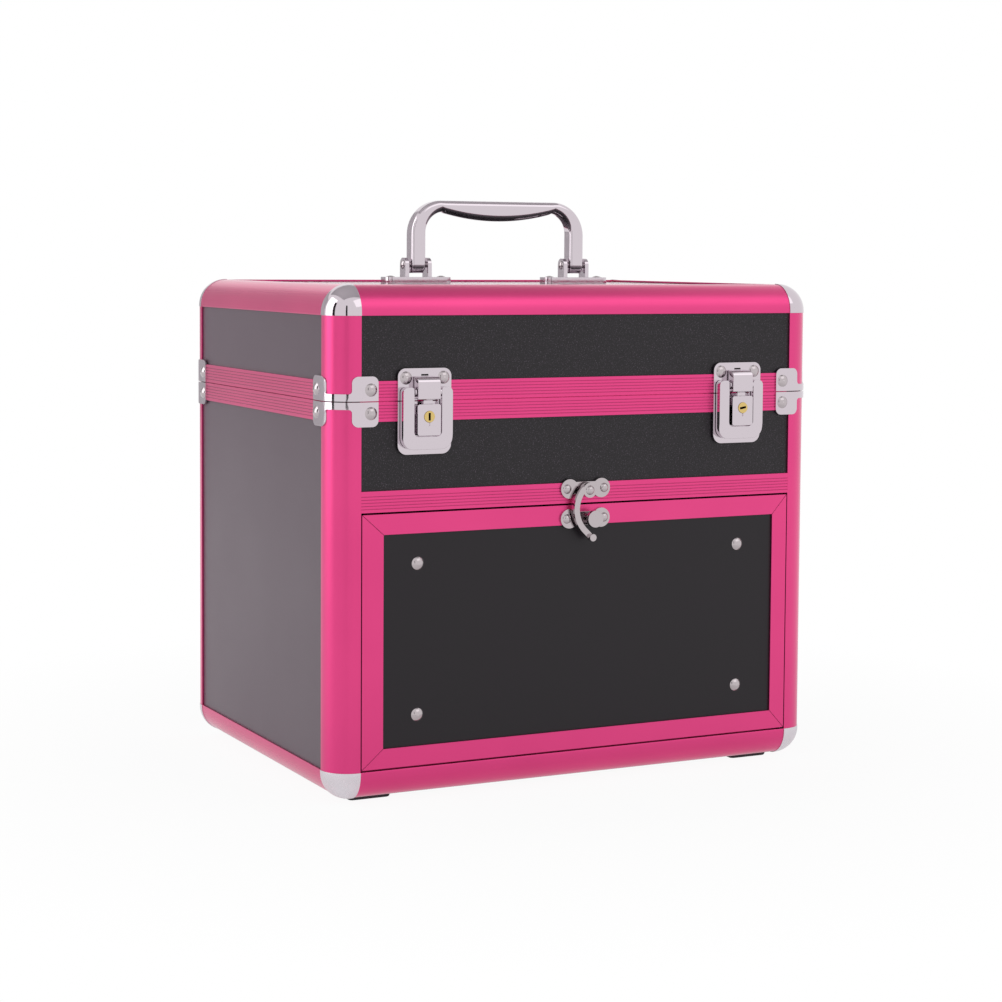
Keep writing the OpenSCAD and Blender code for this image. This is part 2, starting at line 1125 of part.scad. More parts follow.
module latch_lock_body() {
    difference() {
        union() {
            outward(plate_t, lock_out)
                translate([-lock_w / 2, lock_bottom])
                    round_rect(lock_w, lock_top - lock_bottom, lock_corner_r / 2);
            outward(lock_out - 3.2, lock_out - 1.8)
                translate([-nose_w / 2, lock_top - 1])
                    square([nose_w, 1 - lock_top + tab_bottom / 2]);
        }
        translate([0, -lock_out + plug_depth, plug_z])
            rotate([90, 0, 0])
                cylinder(h = 2 * plug_depth, r = plug_r + pin_fit);
    }
}

module latch_lock_bodies() {
    color(chrome)
        at_latches()
            latch_lock_body();
}

// Stub pins that the levers turn on
module latch_pivot_pins() {
    from = lever_open_w / 2 - side_fit - latch_ear_t;
    to = lever_open_w / 2 + latch_pin_depth;
    color(nickel)
        at_latches()
            both_sides()
                across(from, to)
                    translate(lever_pivot)
                        circle(lever_pin_r);
}

// Plate on the lid with the ledge that the hook tab pulls on
module latch_strike() {
    ledge_top = tab_top - tab_sheet - side_fit;
    difference() {
        outward(0, plate_t)
            translate([-latch_w / 2, seam_gap / 2]) {
                round_rect(latch_w, strike_h, lever_corner_r - 1);
                square([latch_w, strike_h / 2]);
            }
        for (x = [-strike_rivet[0], strike_rivet[0]])
            translate([x, 0, strike_rivet[1]])
                rotate([90, 0, 0])
                    bore(shank_r);
    }
    outward(plate_t / 2, strike_ledge_out)
        translate([-strike_ledge_w / 2, ledge_top - strike_ledge_t])
            square([strike_ledge_w, strike_ledge_t]);
}

module latch_strikes() {
    color(chrome)
        at_latches()
            latch_strike();
}

// U-shaped lever round the lock body
module latch_lever() {
    difference() {
        intersection() {
            outward(lever_in, lever_out)
                difference() {
                    translate([-lever_w / 2, lever_bottom])
                        round_rect(lever_w, lever_top - lever_bottom, lever_corner_r);
                    translate([-lever_open_w / 2, lever_inner_bottom])
                        round_rect(lever_open_w, 2 * lever_top - lever_bottom, lock_corner_r);
                }
            across(-lever_w, lever_w) {
                translate([lever_in, lever_bottom])
                    square([lever_out - lever_in, lever_pivot[1] - lever_bottom]);
                translate(lever_pivot)
                    circle(lever_end_r);
            }
        }
        reach = lever_open_w / 2 + latch_pin_depth + side_fit;
        for (p = [lever_pivot, link_pivot])
            across(-reach, reach)
                translate(p)
                    circle(lever_pin_r + pin_fit);
    }
}

// Folded hook tab with the cross pin that it hangs on in the lever
module latch_hook() {
    cheek_t = 1;
    difference() {
        outward(tab_tip, tab_front)
            translate([-tab_w / 2, tab_bottom])
                square([tab_w, tab_top - tab_bottom]);
        outward(0, tab_front - tab_sheet)
            translate([-tab_w / 2 + cheek_t, 0])
                square([tab_w - 2 * cheek_t, tab_top - tab_sheet]);
    }
    across(-lever_open_w / 2 - latch_pin_depth, lever_open_w / 2 + latch_pin_depth)
        translate(link_pivot)
            circle(link_pin_r);
}

module left_latch_lever() {
    color(chrome)
        at_latch(-latch_x)
            latch_lever();
}

module right_latch_lever() {
    color(chrome)
        at_latch(latch_x)
            latch_lever();
}

module left_latch_hook() {
    color(chrome)
        at_latch(-latch_x)
            latch_hook();
}

module right_latch_hook() {
    color(chrome)
        at_latch(latch_x)
            latch_hook();
}

// Brass key plug with its keyway
module key_plug(turn) {
    translate([0, -lock_out + plug_depth - side_fit, plug_z])
        rotate([90, turn, 0])
            difference() {
                cylinder(h = plug_depth - side_fit + plug_proud, r = plug_r);
                translate([-keyway_w / 2, -keyway_h / 2, plug_depth + plug_proud - keyway_depth])
                    cube([keyway_w, keyway_h, keyway_depth]);
            }
}

module left_key_plug() {
    color("#C9A45C")
        at_latch(-latch_x)
            key_plug(0);
}

module right_key_plug() {
    color("#C9A45C")
        at_latch(latch_x)
            key_plug(right_key_turn);
}

// Dog-bone plate outline round its middle
module dog_bone() {
    for (x = [-lobe_x, lobe_x])
        translate([x, 0])
            circle(lobe_r);
    translate([-lobe_x, -waist_h / 2])
        square([2 * lobe_x, waist_h]);
}

module at_hook() {
    translate([0, front_y, z_hook])
        children();
}

module at_catch() {
    translate([0, front_y, z_catch])
        children();
}

module hook_plate() {
    color(nickel)
        difference() {
            at_hook() {
                outward(0, hook_plate_t)
                    dog_bone();
                outward(hook_plate_t / 2, arm_in - side_fit)
                    translate(hook_pivot)
                        circle(hook_eye_r - 0.6);
            }
            header_bores();
        }
}

// Straight stretch of the hook's arm with round ends
module arm_bar(from, to) {
    run = to - from;
    for (p = [from, to])
        translate(p)
            circle(hook_arm_w / 2);
    translate(from)
        rotate(atan2(run[1], run[0]))
            translate([0, -hook_arm_w / 2])
                square([norm(run), hook_arm_w]);
}

function on_arm(angle) = arm_centre + hook_arm_r * [cos(angle), sin(angle)];

// Curved hook arm with its eye, and a knob at the tip for the finger
module arm_outline() {
    reach = 2 * hook_arm_r;
    difference() {
        union() {
            translate(arm_centre)
                intersection() {
                    difference() {
                        circle(hook_arm_r + hook_arm_w / 2);
                        circle(hook_arm_r - hook_arm_w / 2);
                    }
                    polygon([
                        [0, 0],
                        [reach * cos(arm_from), reach * sin(arm_from)],
                        [-reach, 0],
                        [reach * cos(arm_to), reach * sin(arm_to)]
                    ]);
                }
            circle(hook_eye_r);
            arm_bar([0, 0], on_arm(arm_from));
            arm_bar(on_arm(arm_to), knob_at);
            translate(knob_at)
                circle(knob_r);
        }
        circle(hook_pivot_r + pin_fit);
    }
}

module swing_hook() {
    color(nickel)
        at_hook()
            translate([hook_pivot[0], 0, hook_pivot[1]]) {
                outward(arm_in, arm_in + arm_t)
                    arm_outline();
                outward(arm_in, arm_in + knob_l)
                    translate(knob_at)
                        circle(knob_r);
            }
}

// Catch plate with its headed stud, as one turned and riveted piece
module drawer_catch() {
    color(nickel)
        difference() {
            at_catch() {
                outward(0, hook_plate_t)
                    dog_bone();
                outward(hook_plate_t / 2, stud_neck_out)
                    translate([stud_x, 0])
                        circle(stud_neck_r);
                outward(stud_neck_out, stud_out)
                    translate([stud_x, 0])
                        circle(stud_head_r);
            }
            catch_rivet_places()
                bore(shank_r);
        }
}

// Hinge leaf below the barrel, on the rear face; z counts down from the barrel's axis
module knuckle_x(i) {
    translate([-hinge_w / 2 + knuckle_l / 2 + i * (knuckle_l + knuckle_gap), 0, 0])
        children();
}

module hinge_leaf(first) {
    difference() {
        union() {
            translate([-hinge_w / 2, 0, -leaf_h - seam_gap / 2])
                cube([hinge_w, leaf_t, leaf_h + seam_gap / 2 - leaf_clear]);
            for (i = [first : 2 : knuckles - 1])
                knuckle_x(i)
                    run_x(knuckle_l) {
                        translate([0, -leaf_clear - 1])
                            square([leaf_t, leaf_clear + 1]);
                        translate([hinge_off, 0])
                            circle(barrel_r);
                    }
        }
        translate([0, hinge_off, 0])
            rotate([0, 90, 0])
                cylinder(h = 2 * hinge_w, r = hinge_pin_r + pin_fit, center = true);
        for (x = [-hinge_rivet_x, hinge_rivet_x])
            translate([x, 0, -seam_gap / 2 - hinge_rivet_z])
                rotate([90, 0, 0])
                    bore(shank_r);
    }
}

module at_hinges() {
    both_sides()
        translate([hinge_x, case_d / 2, z_seam])
            children();
}

module hinge_base_leaves() {
    color(nickel)
        at_hinges()
            hinge_leaf(0);
}

module hinge_lid_leaves() {
    color(nickel)
        at_hinges()
            mirror([0, 0, 1])
                hinge_leaf(1);
}

module hinge_pins() {
    color(nickel)
        at_hinges()
            translate([0, hinge_off, 0])
                rotate([0, 90, 0])
                    cylinder(h = hinge_w, r = hinge_pin_r, center = true);
}

// Handle mount: a riveted plate with two ears
module handle_mount() {
    plate_top = z_lid_board + mount_t;
    difference() {
        union() {
            translate([-mount_l / 2, -mount_w / 2, z_lid_board])
                linear_extrude(mount_t)
                    round_rect(mount_l, mount_w, mount_corner_r);
            for (side = [-1, 1])
                translate([side * (ear_gap + ear_t / 2), 0, 0])
                    run_x(ear_t) {
                        translate([-ear_r, plate_top - 1])
                            square([2 * ear_r, z_pivot - plate_top + 1]);
                        translate([0, z_pivot])
                            circle(ear_r);
                    }
        }
        translate([0, 0, z_pivot])
            rotate([0, 90, 0])
                cylinder(h = mount_l, r = handle_pin_r + shank_fit, center = true);
        for (x = [-mount_rivet_x, mount_rivet_x])
            translate([x, 0, z_lid_board])
                bore(shank_r);
    }
}

module handle_mounts() {
    color(chrome)
        both_sides()
            translate([handle_span / 2, 0, 0])
                handle_mount();
}

module handle_pins() {
    half_l = ear_gap + ear_t + shank_fit;
    color(nickel)
        both_sides()
            translate([handle_span / 2, 0, z_pivot])
                for (turn = [-90, 90])
                    rotate([0, turn, 0])
                        translate([0, 0, half_l])
                            rivet(pin_head_r, pin_head_h, handle_pin_r, half_l);
}

// Cast handle: two legs, two bends and a bar that bellies down in the middle
module handle_outline() {
    outer = handle_span / 2 + leg_w / 2;
    inner = handle_span / 2 - leg_w / 2;
    inner_r = bend_r - bar_end_t;
    belly_r = (belly_half * belly_half + grip_belly * grip_belly) / (2 * grip_belly);
    difference() {
        intersection() {
            translate([-outer, -handle_rise])
                round_rect(2 * outer, 2 * handle_rise, bend_r);
            translate([-outer, 0])
                square([2 * outer, handle_rise]);
        }
        translate([-inner, -handle_rise])
            round_rect(2 * inner, 2 * handle_rise - bar_end_t, inner_r);
    }
    intersection() {
        translate([0, handle_rise - bar_end_t - grip_belly + belly_r])
            circle(belly_r, $fn = 180);
        translate([-belly_half, handle_rise - bar_end_t - grip_belly])
            square([2 * belly_half, grip_belly + bar_end_t / 2]);
    }
}

module carry_handle() {
    color(chrome)
        translate([0, 0, z_pivot])
            difference() {
                union() {
                    run_y(handle_depth)
                        handle_outline();
                    both_sides()
                        translate([handle_span / 2, 0, 0])
                            rotate([0, 90, 0])
                                cylinder(h = leg_w, r = eye_r, center = true);
                }
                rotate([0, 90, 0])
                    cylinder(h = 2 * handle_span, r = handle_pin_r + pin_fit, center = true);
            }
}

// Drawer front: a board in four mitred rails
module frame_profile() {
    seat = frame_w / 2;
    difference() {
        square([frame_w, inner_off]);
        translate([seat, wall_t])
            square([frame_w, slot_t]);
        translate([wall_t, wall_t])
            square([seat - 2 * wall_t, slot_t]);
    }
}

// Rail along the bottom of a frame of the given half length, mitred at both ends
module mitred_rail(half_l) {
    difference() {
        rotate([90, 0, 90])
            linear_extrude(2 * half_l, center = true)
                mirror([1, -1])
                    frame_profile();
        both_sides()
            translate([half_l, 0, 0])
                rotate([0, -45, 0])
                    translate([-2 * frame_w, -frame_w, -4 * frame_w])
                        cube([8 * frame_w, 4 * frame_w, 4 * frame_w]);
    }
}

module drawer_front_frame() {
    half_h = (z_front_top - z_front_bottom) / 2;
    color(pink)
        difference() {
            translate([0, front_y, z_front_bottom + half_h])
                for (turn = [0, 90, 180, 270]) {
                    upright = turn == 90 || turn == 270;
                    rotate([0, turn, 0])
                        translate([0, 0, -(upright ? front_half_w : half_h)])
                            mitred_rail(upright ? half_h : front_half_w);
                }
            catch_rivet_places()
                bore(shank_r);
        }
}

module drawer_front_panel() {
    seat = frame_w / 2 + 2 * board_fit;
    color(black)
        difference() {
            front_board(front_half_w - seat, z_front_bottom + seat, z_front_top - seat);
            drawer_rivet_places()
                bore(shank_r);
            catch_rivet_places()
                bore(shank_r);
        }
}

// Moulded bin behind the front, with a raised pad that the front is riveted to
module drawer_bin() {
    pad_x = front_half_w - frame_w - 1;
    pad_z0 = z_front_bottom + frame_w + 1;
    pad_z1 = min(z_bin + bin_h - 1, z_front_top - frame_w - 1);
    pad_y = front_y + board_face + board_t + board_fit;
    color(black)
        difference() {
            union() {
                translate([-bin_half_w, bin_front_y, z_bin])
                    cube([2 * bin_half_w, bin_rear_y - bin_front_y, bin_h]);
                translate([-pad_x, pad_y, pad_z0])
                    cube([2 * pad_x, bin_front_y - pad_y + 1, pad_z1 - pad_z0]);
                translate([-stop_w / 2 + 2, bin_rear_y - bin_wall, z_bin + bin_h - 1])
                    cube([stop_w - 4, bin_wall, z_stop + tab_rise - z_bin - bin_h + 1]);
            }
            translate([-bin_half_w + bin_wall, bin_front_y + bin_wall, z_bin + bin_wall])
                cube([
                    2 * (bin_half_w - bin_wall),
                    bin_rear_y - bin_front_y - 2 * bin_wall,
                    2 * bin_h
                ]);
            drawer_rivet_places()
                bore(shank_r);
        }
}

module drawer_rivets() {
    color(nickel) {
        drawer_rivet_places()
            translate([0, 0, -board_face])
                rivet(dome_r, dome_h, shank_r, inner_off + bin_wall - board_face);
        catch_rivet_places()
            translate([0, 0, hook_plate_t])
                rivet(hook_dome_r, dome_h, shank_r, hook_plate_t + inner_off);
    }
}

bottom_panel();
base_back_panel();
base_left_panel();
base_right_panel();
base_front_panel();
shelf_panel();
shelf_battens();
front_left_post();
front_right_post();
rear_left_post();
rear_right_post();
bottom_front_rail();
bottom_rear_rail();
bottom_side_rails();
base_rim_rails();
header_rail();
bottom_corner_caps();
base_corner_brackets();
base_rivets();
rubber_feet();
drawer_guides();
drawer_stop();
compartment_lining();
latch_base_plates();
latch_lock_bodies();
latch_pivot_pins();
hook_plate();
hinge_base_leaves();
hinge_pins();
lid_top_panel();
lid_front_panel();
lid_back_panel();
lid_left_panel();
lid_right_panel();
lid_front_rail();
lid_rear_rail();
lid_side_rails();
lid_corner_posts();
lid_rim_rails();
lid_corner_caps();
lid_corner_brackets();
lid_rivets();
lid_lining();
latch_strikes();
hinge_lid_leaves();
handle_mounts();
handle_pins();
carry_handle();
left_latch_lever();
left_latch_hook();
right_latch_lever();
right_latch_hook();
left_key_plug();
right_key_plug();
swing_hook();
drawer_front_panel();
drawer_front_frame();
drawer_bin();
drawer_rivets();
drawer_catch();
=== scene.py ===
import json
from math import atan2, cos, hypot, pi, radians, sin, sqrt, tan

import bmesh
import bpy
from mathutils import Matrix, Vector


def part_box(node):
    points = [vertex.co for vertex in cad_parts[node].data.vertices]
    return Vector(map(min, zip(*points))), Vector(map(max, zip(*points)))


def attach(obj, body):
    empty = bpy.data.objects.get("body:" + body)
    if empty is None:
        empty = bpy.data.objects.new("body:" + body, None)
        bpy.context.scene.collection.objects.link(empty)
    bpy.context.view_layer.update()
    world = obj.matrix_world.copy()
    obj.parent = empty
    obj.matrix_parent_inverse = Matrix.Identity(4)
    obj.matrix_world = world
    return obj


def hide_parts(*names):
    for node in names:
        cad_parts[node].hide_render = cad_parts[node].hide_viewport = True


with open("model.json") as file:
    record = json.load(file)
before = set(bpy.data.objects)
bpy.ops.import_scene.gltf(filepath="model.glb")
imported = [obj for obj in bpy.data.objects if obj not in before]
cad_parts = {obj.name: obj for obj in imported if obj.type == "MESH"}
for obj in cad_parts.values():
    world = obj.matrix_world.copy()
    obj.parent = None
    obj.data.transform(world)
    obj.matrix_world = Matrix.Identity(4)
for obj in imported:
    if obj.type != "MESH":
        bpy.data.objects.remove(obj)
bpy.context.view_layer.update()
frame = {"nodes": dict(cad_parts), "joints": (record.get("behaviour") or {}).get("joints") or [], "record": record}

# ---------------------------------------------------------------------------------------------
# Covered boards. 4 mm fibreboard wrapped in black polyurethane leather cloth, whose fine grain
# is embossed by a roller. Each board is pushed into the slots of the edge profiles.

MM = 0.001
nodes = frame["nodes"]


def linear(hex_colour):
    """sRGB hex to linear RGBA."""
    parts = [int(hex_colour[i:i + 2], 16) / 255 for i in (1, 3, 5)]
    return tuple(c / 12.92 if c <= 0.04045 else ((c + 0.055) / 1.055) ** 2.4 for c in parts) + (1,)


def put(tree, kind, inputs=None, **settings):
    """Adds a node. settings are its properties; inputs are values for its sockets, or the
    sockets that they come from."""
    node = tree.nodes.new(kind)
    for name, value in settings.items():
        setattr(node, name, value)
    for name, value in (inputs or {}).items():
        if isinstance(value, bpy.types.NodeSocket):
            tree.links.new(value, node.inputs[name])
        else:
            node.inputs[name].default_value = value
    return node


def start_material(name):
    """An empty material, its node tree and the place of a surface point on the case."""
    material = bpy.data.materials.new(name)
    material.use_nodes = True
    tree = material.node_tree
    tree.nodes.clear()
    place = put(tree, "ShaderNodeTexCoord").outputs["Object"]
    return material, tree, place


def end_material(tree, shader_inputs):
    """The surface shader and the material's output."""
    shader = put(tree, "ShaderNodeBsdfPrincipled", shader_inputs)
    put(tree, "ShaderNodeOutputMaterial", {"Surface": shader.outputs["BSDF"]})


def mirror_at_low_angle(tree, roughness, least):
    """Lowers a roughness towards grazing view, where every real finish begins to mirror."""
    edge_on = put(tree, "ShaderNodeLayerWeight", {"Blend": 0.5})
    share = put(tree, "ShaderNodeMapRange", {
        "Value": edge_on.outputs["Facing"], "From Min": 0.6, "From Max": 0.97})
    mixed = put(tree, "ShaderNodeMix", {0: share.outputs[0], 2: roughness, 3: least})
    return mixed.outputs[0]


def leather_cloth():
    """Embossed polyurethane cloth: near black, with 0.8 mm pebbles. Pale painted specks stand for
    pebble tops catching the light, and at a low angle a painted sheen turns the whole cloth grey."""
    grain = 0.8 * MM
    material, tree, place = start_material("black_embossed_leather_cloth")
    pebbles = put(tree, "ShaderNodeTexVoronoi", {"Vector": place, "Scale": 1 / grain}, feature="F1")
    pores = put(tree, "ShaderNodeTexNoise", {"Vector": place, "Scale": 1.2 / grain, "Detail": 2})
    # Painted glints: where the pore noise is high the colour turns pale, for pebble tops catching the light.
    specks = put(tree, "ShaderNodeMapRange", {
        "Value": pores.outputs["Fac"], "From Min": 0.56, "From Max": 0.74})
    # Painted sheen: towards grazing view the base colour turns from near black to pale grey.
    edge_on = put(tree, "ShaderNodeLayerWeight", {"Blend": 0.5})
    painted_sheen_share = put(tree, "ShaderNodeMapRange", {
        "Value": edge_on.outputs["Facing"], "From Min": 0.3, "From Max": 0.8})
    painted_sheen_colour = put(tree, "ShaderNodeMix", {
        "Factor": painted_sheen_share.outputs[0], 6: linear("#0C030C"), 7: linear("#786672")}, data_type="RGBA")
    shade = put(tree, "ShaderNodeMix", {
        "Factor": specks.outputs[0], 6: painted_sheen_colour.outputs[2], 7: linear("#5A505C")}, data_type="RGBA")
    height = put(tree, "ShaderNodeMath", {0: pebbles.outputs["Distance"], 1: pores.outputs["Fac"]},
                 operation="MULTIPLY")
    bump = put(tree, "ShaderNodeBump", {
        "Height": height.outputs[0], "Strength": 0.6, "Distance": 0.12 * MM}, invert=True)
    wipe = put(tree, "ShaderNodeTexNoise", {"Vector": place, "Scale": 1 / (70 * MM), "Detail": 3})
    gloss = put(tree, "ShaderNodeMapRange", {
        "Value": wipe.outputs["Fac"], "To Min": 0.38, "To Max": 0.5})
    end_material(tree, {
        "Base Color": shade.outputs[2], "IOR": 1.46, "Normal": bump.outputs[0],
        "Roughness": mirror_at_low_angle(tree, gloss.outputs[0], 0.08)})
    return material


def dress(material, *names):
    """Gives CAD pieces a finish."""
    for name in names:
        nodes[name].data.materials.clear()
        nodes[name].data.materials.append(material)


cloth = leather_cloth()
dress(cloth, "base_back_panel", "base_left_panel", "base_right_panel", "base_front_panel",
      "lid_top_panel", "lid_front_panel", "lid_back_panel", "lid_left_panel", "lid_right_panel")

# ---------------------------------------------------------------------------------------------
# Plain boards. The bottom, the shelf and the drawer's front are faced with a calendered vinyl
# film. It is rolled smooth, so it shows a soft even gloss with only a trace of texture.


def vinyl_film():
    """Calendered film: flat, near black, with a faint 2 mm orange peel and wipe marks."""
    material, tree, place = start_material("black_calendered_vinyl_film")
    peel = put(tree, "ShaderNodeTexNoise", {"Vector": place, "Scale": 1 / (2 * MM), "Detail": 2})
    wipe = put(tree, "ShaderNodeTexNoise", {"Vector": place, "Scale": 1 / (45 * MM), "Detail": 4})
    shade = put(tree, "ShaderNodeMix", {
        "Factor": wipe.outputs["Fac"], 6: linear("#0E040E"), 7: linear("#140814")}, data_type="RGBA")
    gloss = put(tree, "ShaderNodeMapRange", {
        "Value": wipe.outputs["Fac"], "To Min": 0.34, "To Max": 0.44})
    bump = put(tree, "ShaderNodeBump", {
        "Height": peel.outputs["Fac"], "Strength": 0.2, "Distance": 0.02 * MM})
    end_material(tree, {
        "Base Color": shade.outputs[2], "IOR": 1.44, "Normal": bump.outputs[0],
        "Roughness": mirror_at_low_angle(tree, gloss.outputs[0], 0.08)})
    return material


film = vinyl_film()
dress(film, "bottom_panel", "shelf_panel", "drawer_front_panel")

# ---------------------------------------------------------------------------------------------
# Battens, drawer guides and drawer stop. Pine strips planed, stained black and glued or screwed
# under the shelf and along the sides.

body_of = {
    node: body for body, members in frame["record"]["behaviour"]["bodies"].items() for node in members}


def stained_pine():
    """Stained softwood: black-brown with the grain running along the strip."""
    material, tree, place = start_material("black_stained_pine")
    along = put(tree, "ShaderNodeMapping", {
        "Vector": place, "Scale": (1 / (1.6 * MM), 1 / (40 * MM), 1 / (1.6 * MM))})
    grain = put(tree, "ShaderNodeTexNoise", {"Vector": along.outputs[0], "Scale": 1.0, "Detail": 4})
    shade = put(tree, "ShaderNodeMix", {
        "Factor": grain.outputs["Fac"], 6: linear("#1E1A18"), 7: linear("#3B332E")}, data_type="RGBA")
    bump = put(tree, "ShaderNodeBump", {
        "Height": grain.outputs["Fac"], "Strength": 0.4, "Distance": 0.15 * MM})
    end_material(tree, {
        "Base Color": shade.outputs[2], "Roughness": 0.68, "Normal": bump.outputs[0]})
    return material


def soften(form, radius, steps=2, sharper_than=30):
    """Rounds every edge that is sharper than an angle."""
    edges = [edge for edge in form.edges
             if len(edge.link_faces) == 2 and edge.calc_face_angle(0) > radians(sharper_than)]
    bmesh.ops.bevel(form, geom=edges, offset=radius, segments=steps, profile=0.5,
                    affect="EDGES", clamp_overlap=True)


def as_piece(name, form, finishes, slot, *replaced, finish_of=None):
    """Makes one piece of a form. It stands for CAD nodes and rides on the body they belong to.
    finish_of tells which finish a face gets."""
    bmesh.ops.recalc_face_normals(form, faces=form.faces)
    mesh = bpy.data.meshes.new(name)
    form.to_mesh(mesh)
    form.free()
    mesh.shade_smooth()
    mesh.set_sharp_from_angle(angle=radians(38))
    for finish in finishes:
        mesh.materials.append(finish)
    if finish_of:
        for face in mesh.polygons:
            face.material_index = finish_of(face)
    piece = bpy.data.objects.new(name, mesh)
    bpy.context.scene.collection.objects.link(piece)
    flat_first = piece.modifiers.new("flat_first", "WEIGHTED_NORMAL")
    flat_first.keep_sharp = True
    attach(piece, body_of[replaced[0]])
    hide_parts(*replaced)
    return piece


def blank_of(node):
    """The closed form of a CAD piece, without the seams and splits of its triangles."""
    form = bmesh.new()
    form.from_mesh(nodes[node].data)
    bmesh.ops.remove_doubles(form, verts=form.verts, dist=0.001 * MM)
    bmesh.ops.dissolve_limit(form, angle_limit=radians(0.5), verts=form.verts, edges=form.edges)
    return form


def eased(node, radius, finishes, slot, steps=2, finish_of=None):
    """A CAD piece with its edges broken by a small radius, as they are on the real one."""
    form = blank_of(node)
    soften(form, radius, steps)
    return as_piece(node + "_eased", form, finishes, slot, node, finish_of=finish_of)


pine = stained_pine()
for strip in ("shelf_battens", "drawer_guides", "drawer_stop"):
    eased(strip, 0.5 * MM, [pine], "smooth_board", steps=1)

# ---------------------------------------------------------------------------------------------
# Edge profiles. Extruded aluminium with a quarter-round face, etched satin and dyed pink in the
# anodising bath. Corner caps are pressed into their ends.


def anodised(name, along, thin_dye="#DC357D", deep_dye="#EA3F86"):
    """Dyed anodised aluminium under its clear sealed oxide: satin metal whose 0.35 mm extrusion
    lines run one way (0 x, 1 y, 2 z). The clear skin turns it pale where it is seen edge-on."""
    material, tree, place = start_material(name)
    scale = [1 / (0.35 * MM)] * 3
    scale[along] = 1 / (90 * MM)
    stretched = put(tree, "ShaderNodeMapping", {"Vector": place, "Scale": scale})
    lines = put(tree, "ShaderNodeTexNoise", {"Vector": stretched.outputs[0], "Scale": 1.0, "Detail": 2})
    cloud = put(tree, "ShaderNodeTexNoise", {"Vector": place, "Scale": 1 / (60 * MM), "Detail": 2})
    # The groove finishes pass darker dye colours here, as painted shade.
    dye = put(tree, "ShaderNodeMix", {
        "Factor": cloud.outputs["Fac"], 6: linear(thin_dye), 7: linear(deep_dye)}, data_type="RGBA")
    satin = put(tree, "ShaderNodeMapRange", {
        "Value": lines.outputs["Fac"], "To Min": 0.3, "To Max": 0.44})
    skin = mirror_at_low_angle(tree, satin.outputs[0], 0.06)
    bump = put(tree, "ShaderNodeBump", {
        "Height": lines.outputs["Fac"], "Strength": 0.25, "Distance": 0.01 * MM})
    end_material(tree, {
        "Base Color": dye.outputs[2], "Metallic": 1.0, "Roughness": satin.outputs[0],
        "Coat Weight": 0.7, "Coat Roughness": skin, "Coat IOR": 1.5, "Normal": bump.outputs[0]})
    return material


pink_x = anodised("pink_anodised_aluminium_x", 0)
pink_y = anodised("pink_anodised_aluminium_y", 1)
pink_z = anodised("pink_anodised_aluminium_z", 2)
for finish, profiles in (
        (pink_z, ("front_left_post", "front_right_post", "rear_left_post", "rear_right_post",
                  "lid_corner_posts")),
        (pink_x, ("bottom_front_rail", "bottom_rear_rail", "lid_front_rail", "lid_rear_rail")),
        (pink_y, ("bottom_side_rails", "lid_side_rails"))):
    for profile in profiles:
        eased(profile, 0.15 * MM, [finish], "anodised_profile", steps=1)

# ---------------------------------------------------------------------------------------------
# Rim rails and header rail. Flat extrusions with fine ribs, slid over the edges of the boards
# where lid and base meet and above the drawer.

rim_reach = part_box("base_rim_rails")[1]
groove_deep = 0.35 * MM


def rim_finish(face):
    """Rails at the sides run along y, the others along x. The floors of the grooves get a darker
    pink as painted shade."""
    behind_front = rim_reach.y - abs(face.center.y)
    behind_side = rim_reach.x - abs(face.center.x)
    in_groove = abs(min(behind_front, behind_side) - groove_deep) < 0.15 * MM
    return (1 if behind_side < behind_front else 0) + (2 if in_groove else 0)


# Darker pinks for the groove floors: painted shade.
groove_x = anodised("painted_shade_pink_groove_x", 0, "#AE2362", "#BC2A6B")
groove_y = anodised("painted_shade_pink_groove_y", 1, "#AE2362", "#BC2A6B")
for rail in ("base_rim_rails", "lid_rim_rails", "header_rail"):
    eased(rail, 0.08 * MM, [pink_x, pink_y, groove_x, groove_y], "anodised_profile", steps=1,
          finish_of=rim_finish)

# ---------------------------------------------------------------------------------------------
# Corner caps. Zinc castings that close the corner where three profiles meet: bright chrome on
# the lid, a satin finish on the base.


def plated(name, colour, roughness, haze_size=12 * MM, marks=0.02 * MM):
    """Polished and plated metal: mirror-like, with a thin haze and fine marks from handling."""
    material, tree, place = start_material(name)
    haze = put(tree, "ShaderNodeTexNoise", {"Vector": place, "Scale": 1 / haze_size, "Detail": 4})
    gloss = put(tree, "ShaderNodeMapRange", {
        "Value": haze.outputs["Fac"], "To Min": roughness * 0.6, "To Max": roughness * 1.4})
    waves = put(tree, "ShaderNodeTexNoise", {"Vector": place, "Scale": 1 / (5 * MM), "Detail": 2})
    bump = put(tree, "ShaderNodeBump", {
        "Height": waves.outputs["Fac"], "Strength": 0.3, "Distance": marks})
    end_material(tree, {
        "Base Color": linear(colour), "Metallic": 1.0, "Roughness": gloss.outputs[0],
        "Normal": bump.outputs[0]})
    return material


chrome = plated("chrome_plated_steel", "#D0C6CD", 0.07)
satin_zinc = plated("satin_plated_cast_zinc", "#E6E0E6", 0.28)
eased("lid_corner_caps", 0.3 * MM, [chrome], "chrome", steps=2)
eased("bottom_corner_caps", 0.3 * MM, [satin_zinc], "satin_cast", steps=2)

# ---------------------------------------------------------------------------------------------
# Feet. Square moulded rubber pads with sloped sides and a shallow recess underneath, screwed to
# the bottom board through the recess.


def moulded_rubber():
    """Synthetic rubber: matt charcoal that greys where it is rubbed."""
    material, tree, place = start_material("moulded_black_rubber")
    scuffs = put(tree, "ShaderNodeTexNoise", {"Vector": place, "Scale": 1 / (1.5 * MM), "Detail": 4})
    shade = put(tree, "ShaderNodeMix", {
        "Factor": scuffs.outputs["Fac"], 6: linear("#2B2A2D"), 7: linear("#4B4A4F")}, data_type="RGBA")
    bump = put(tree, "ShaderNodeBump", {
        "Height": scuffs.outputs["Fac"], "Strength": 0.3, "Distance": 0.1 * MM})
    end_material(tree, {
        "Base Color": shade.outputs[2], "Roughness": 0.7, "Normal": bump.outputs[0]})
    return material


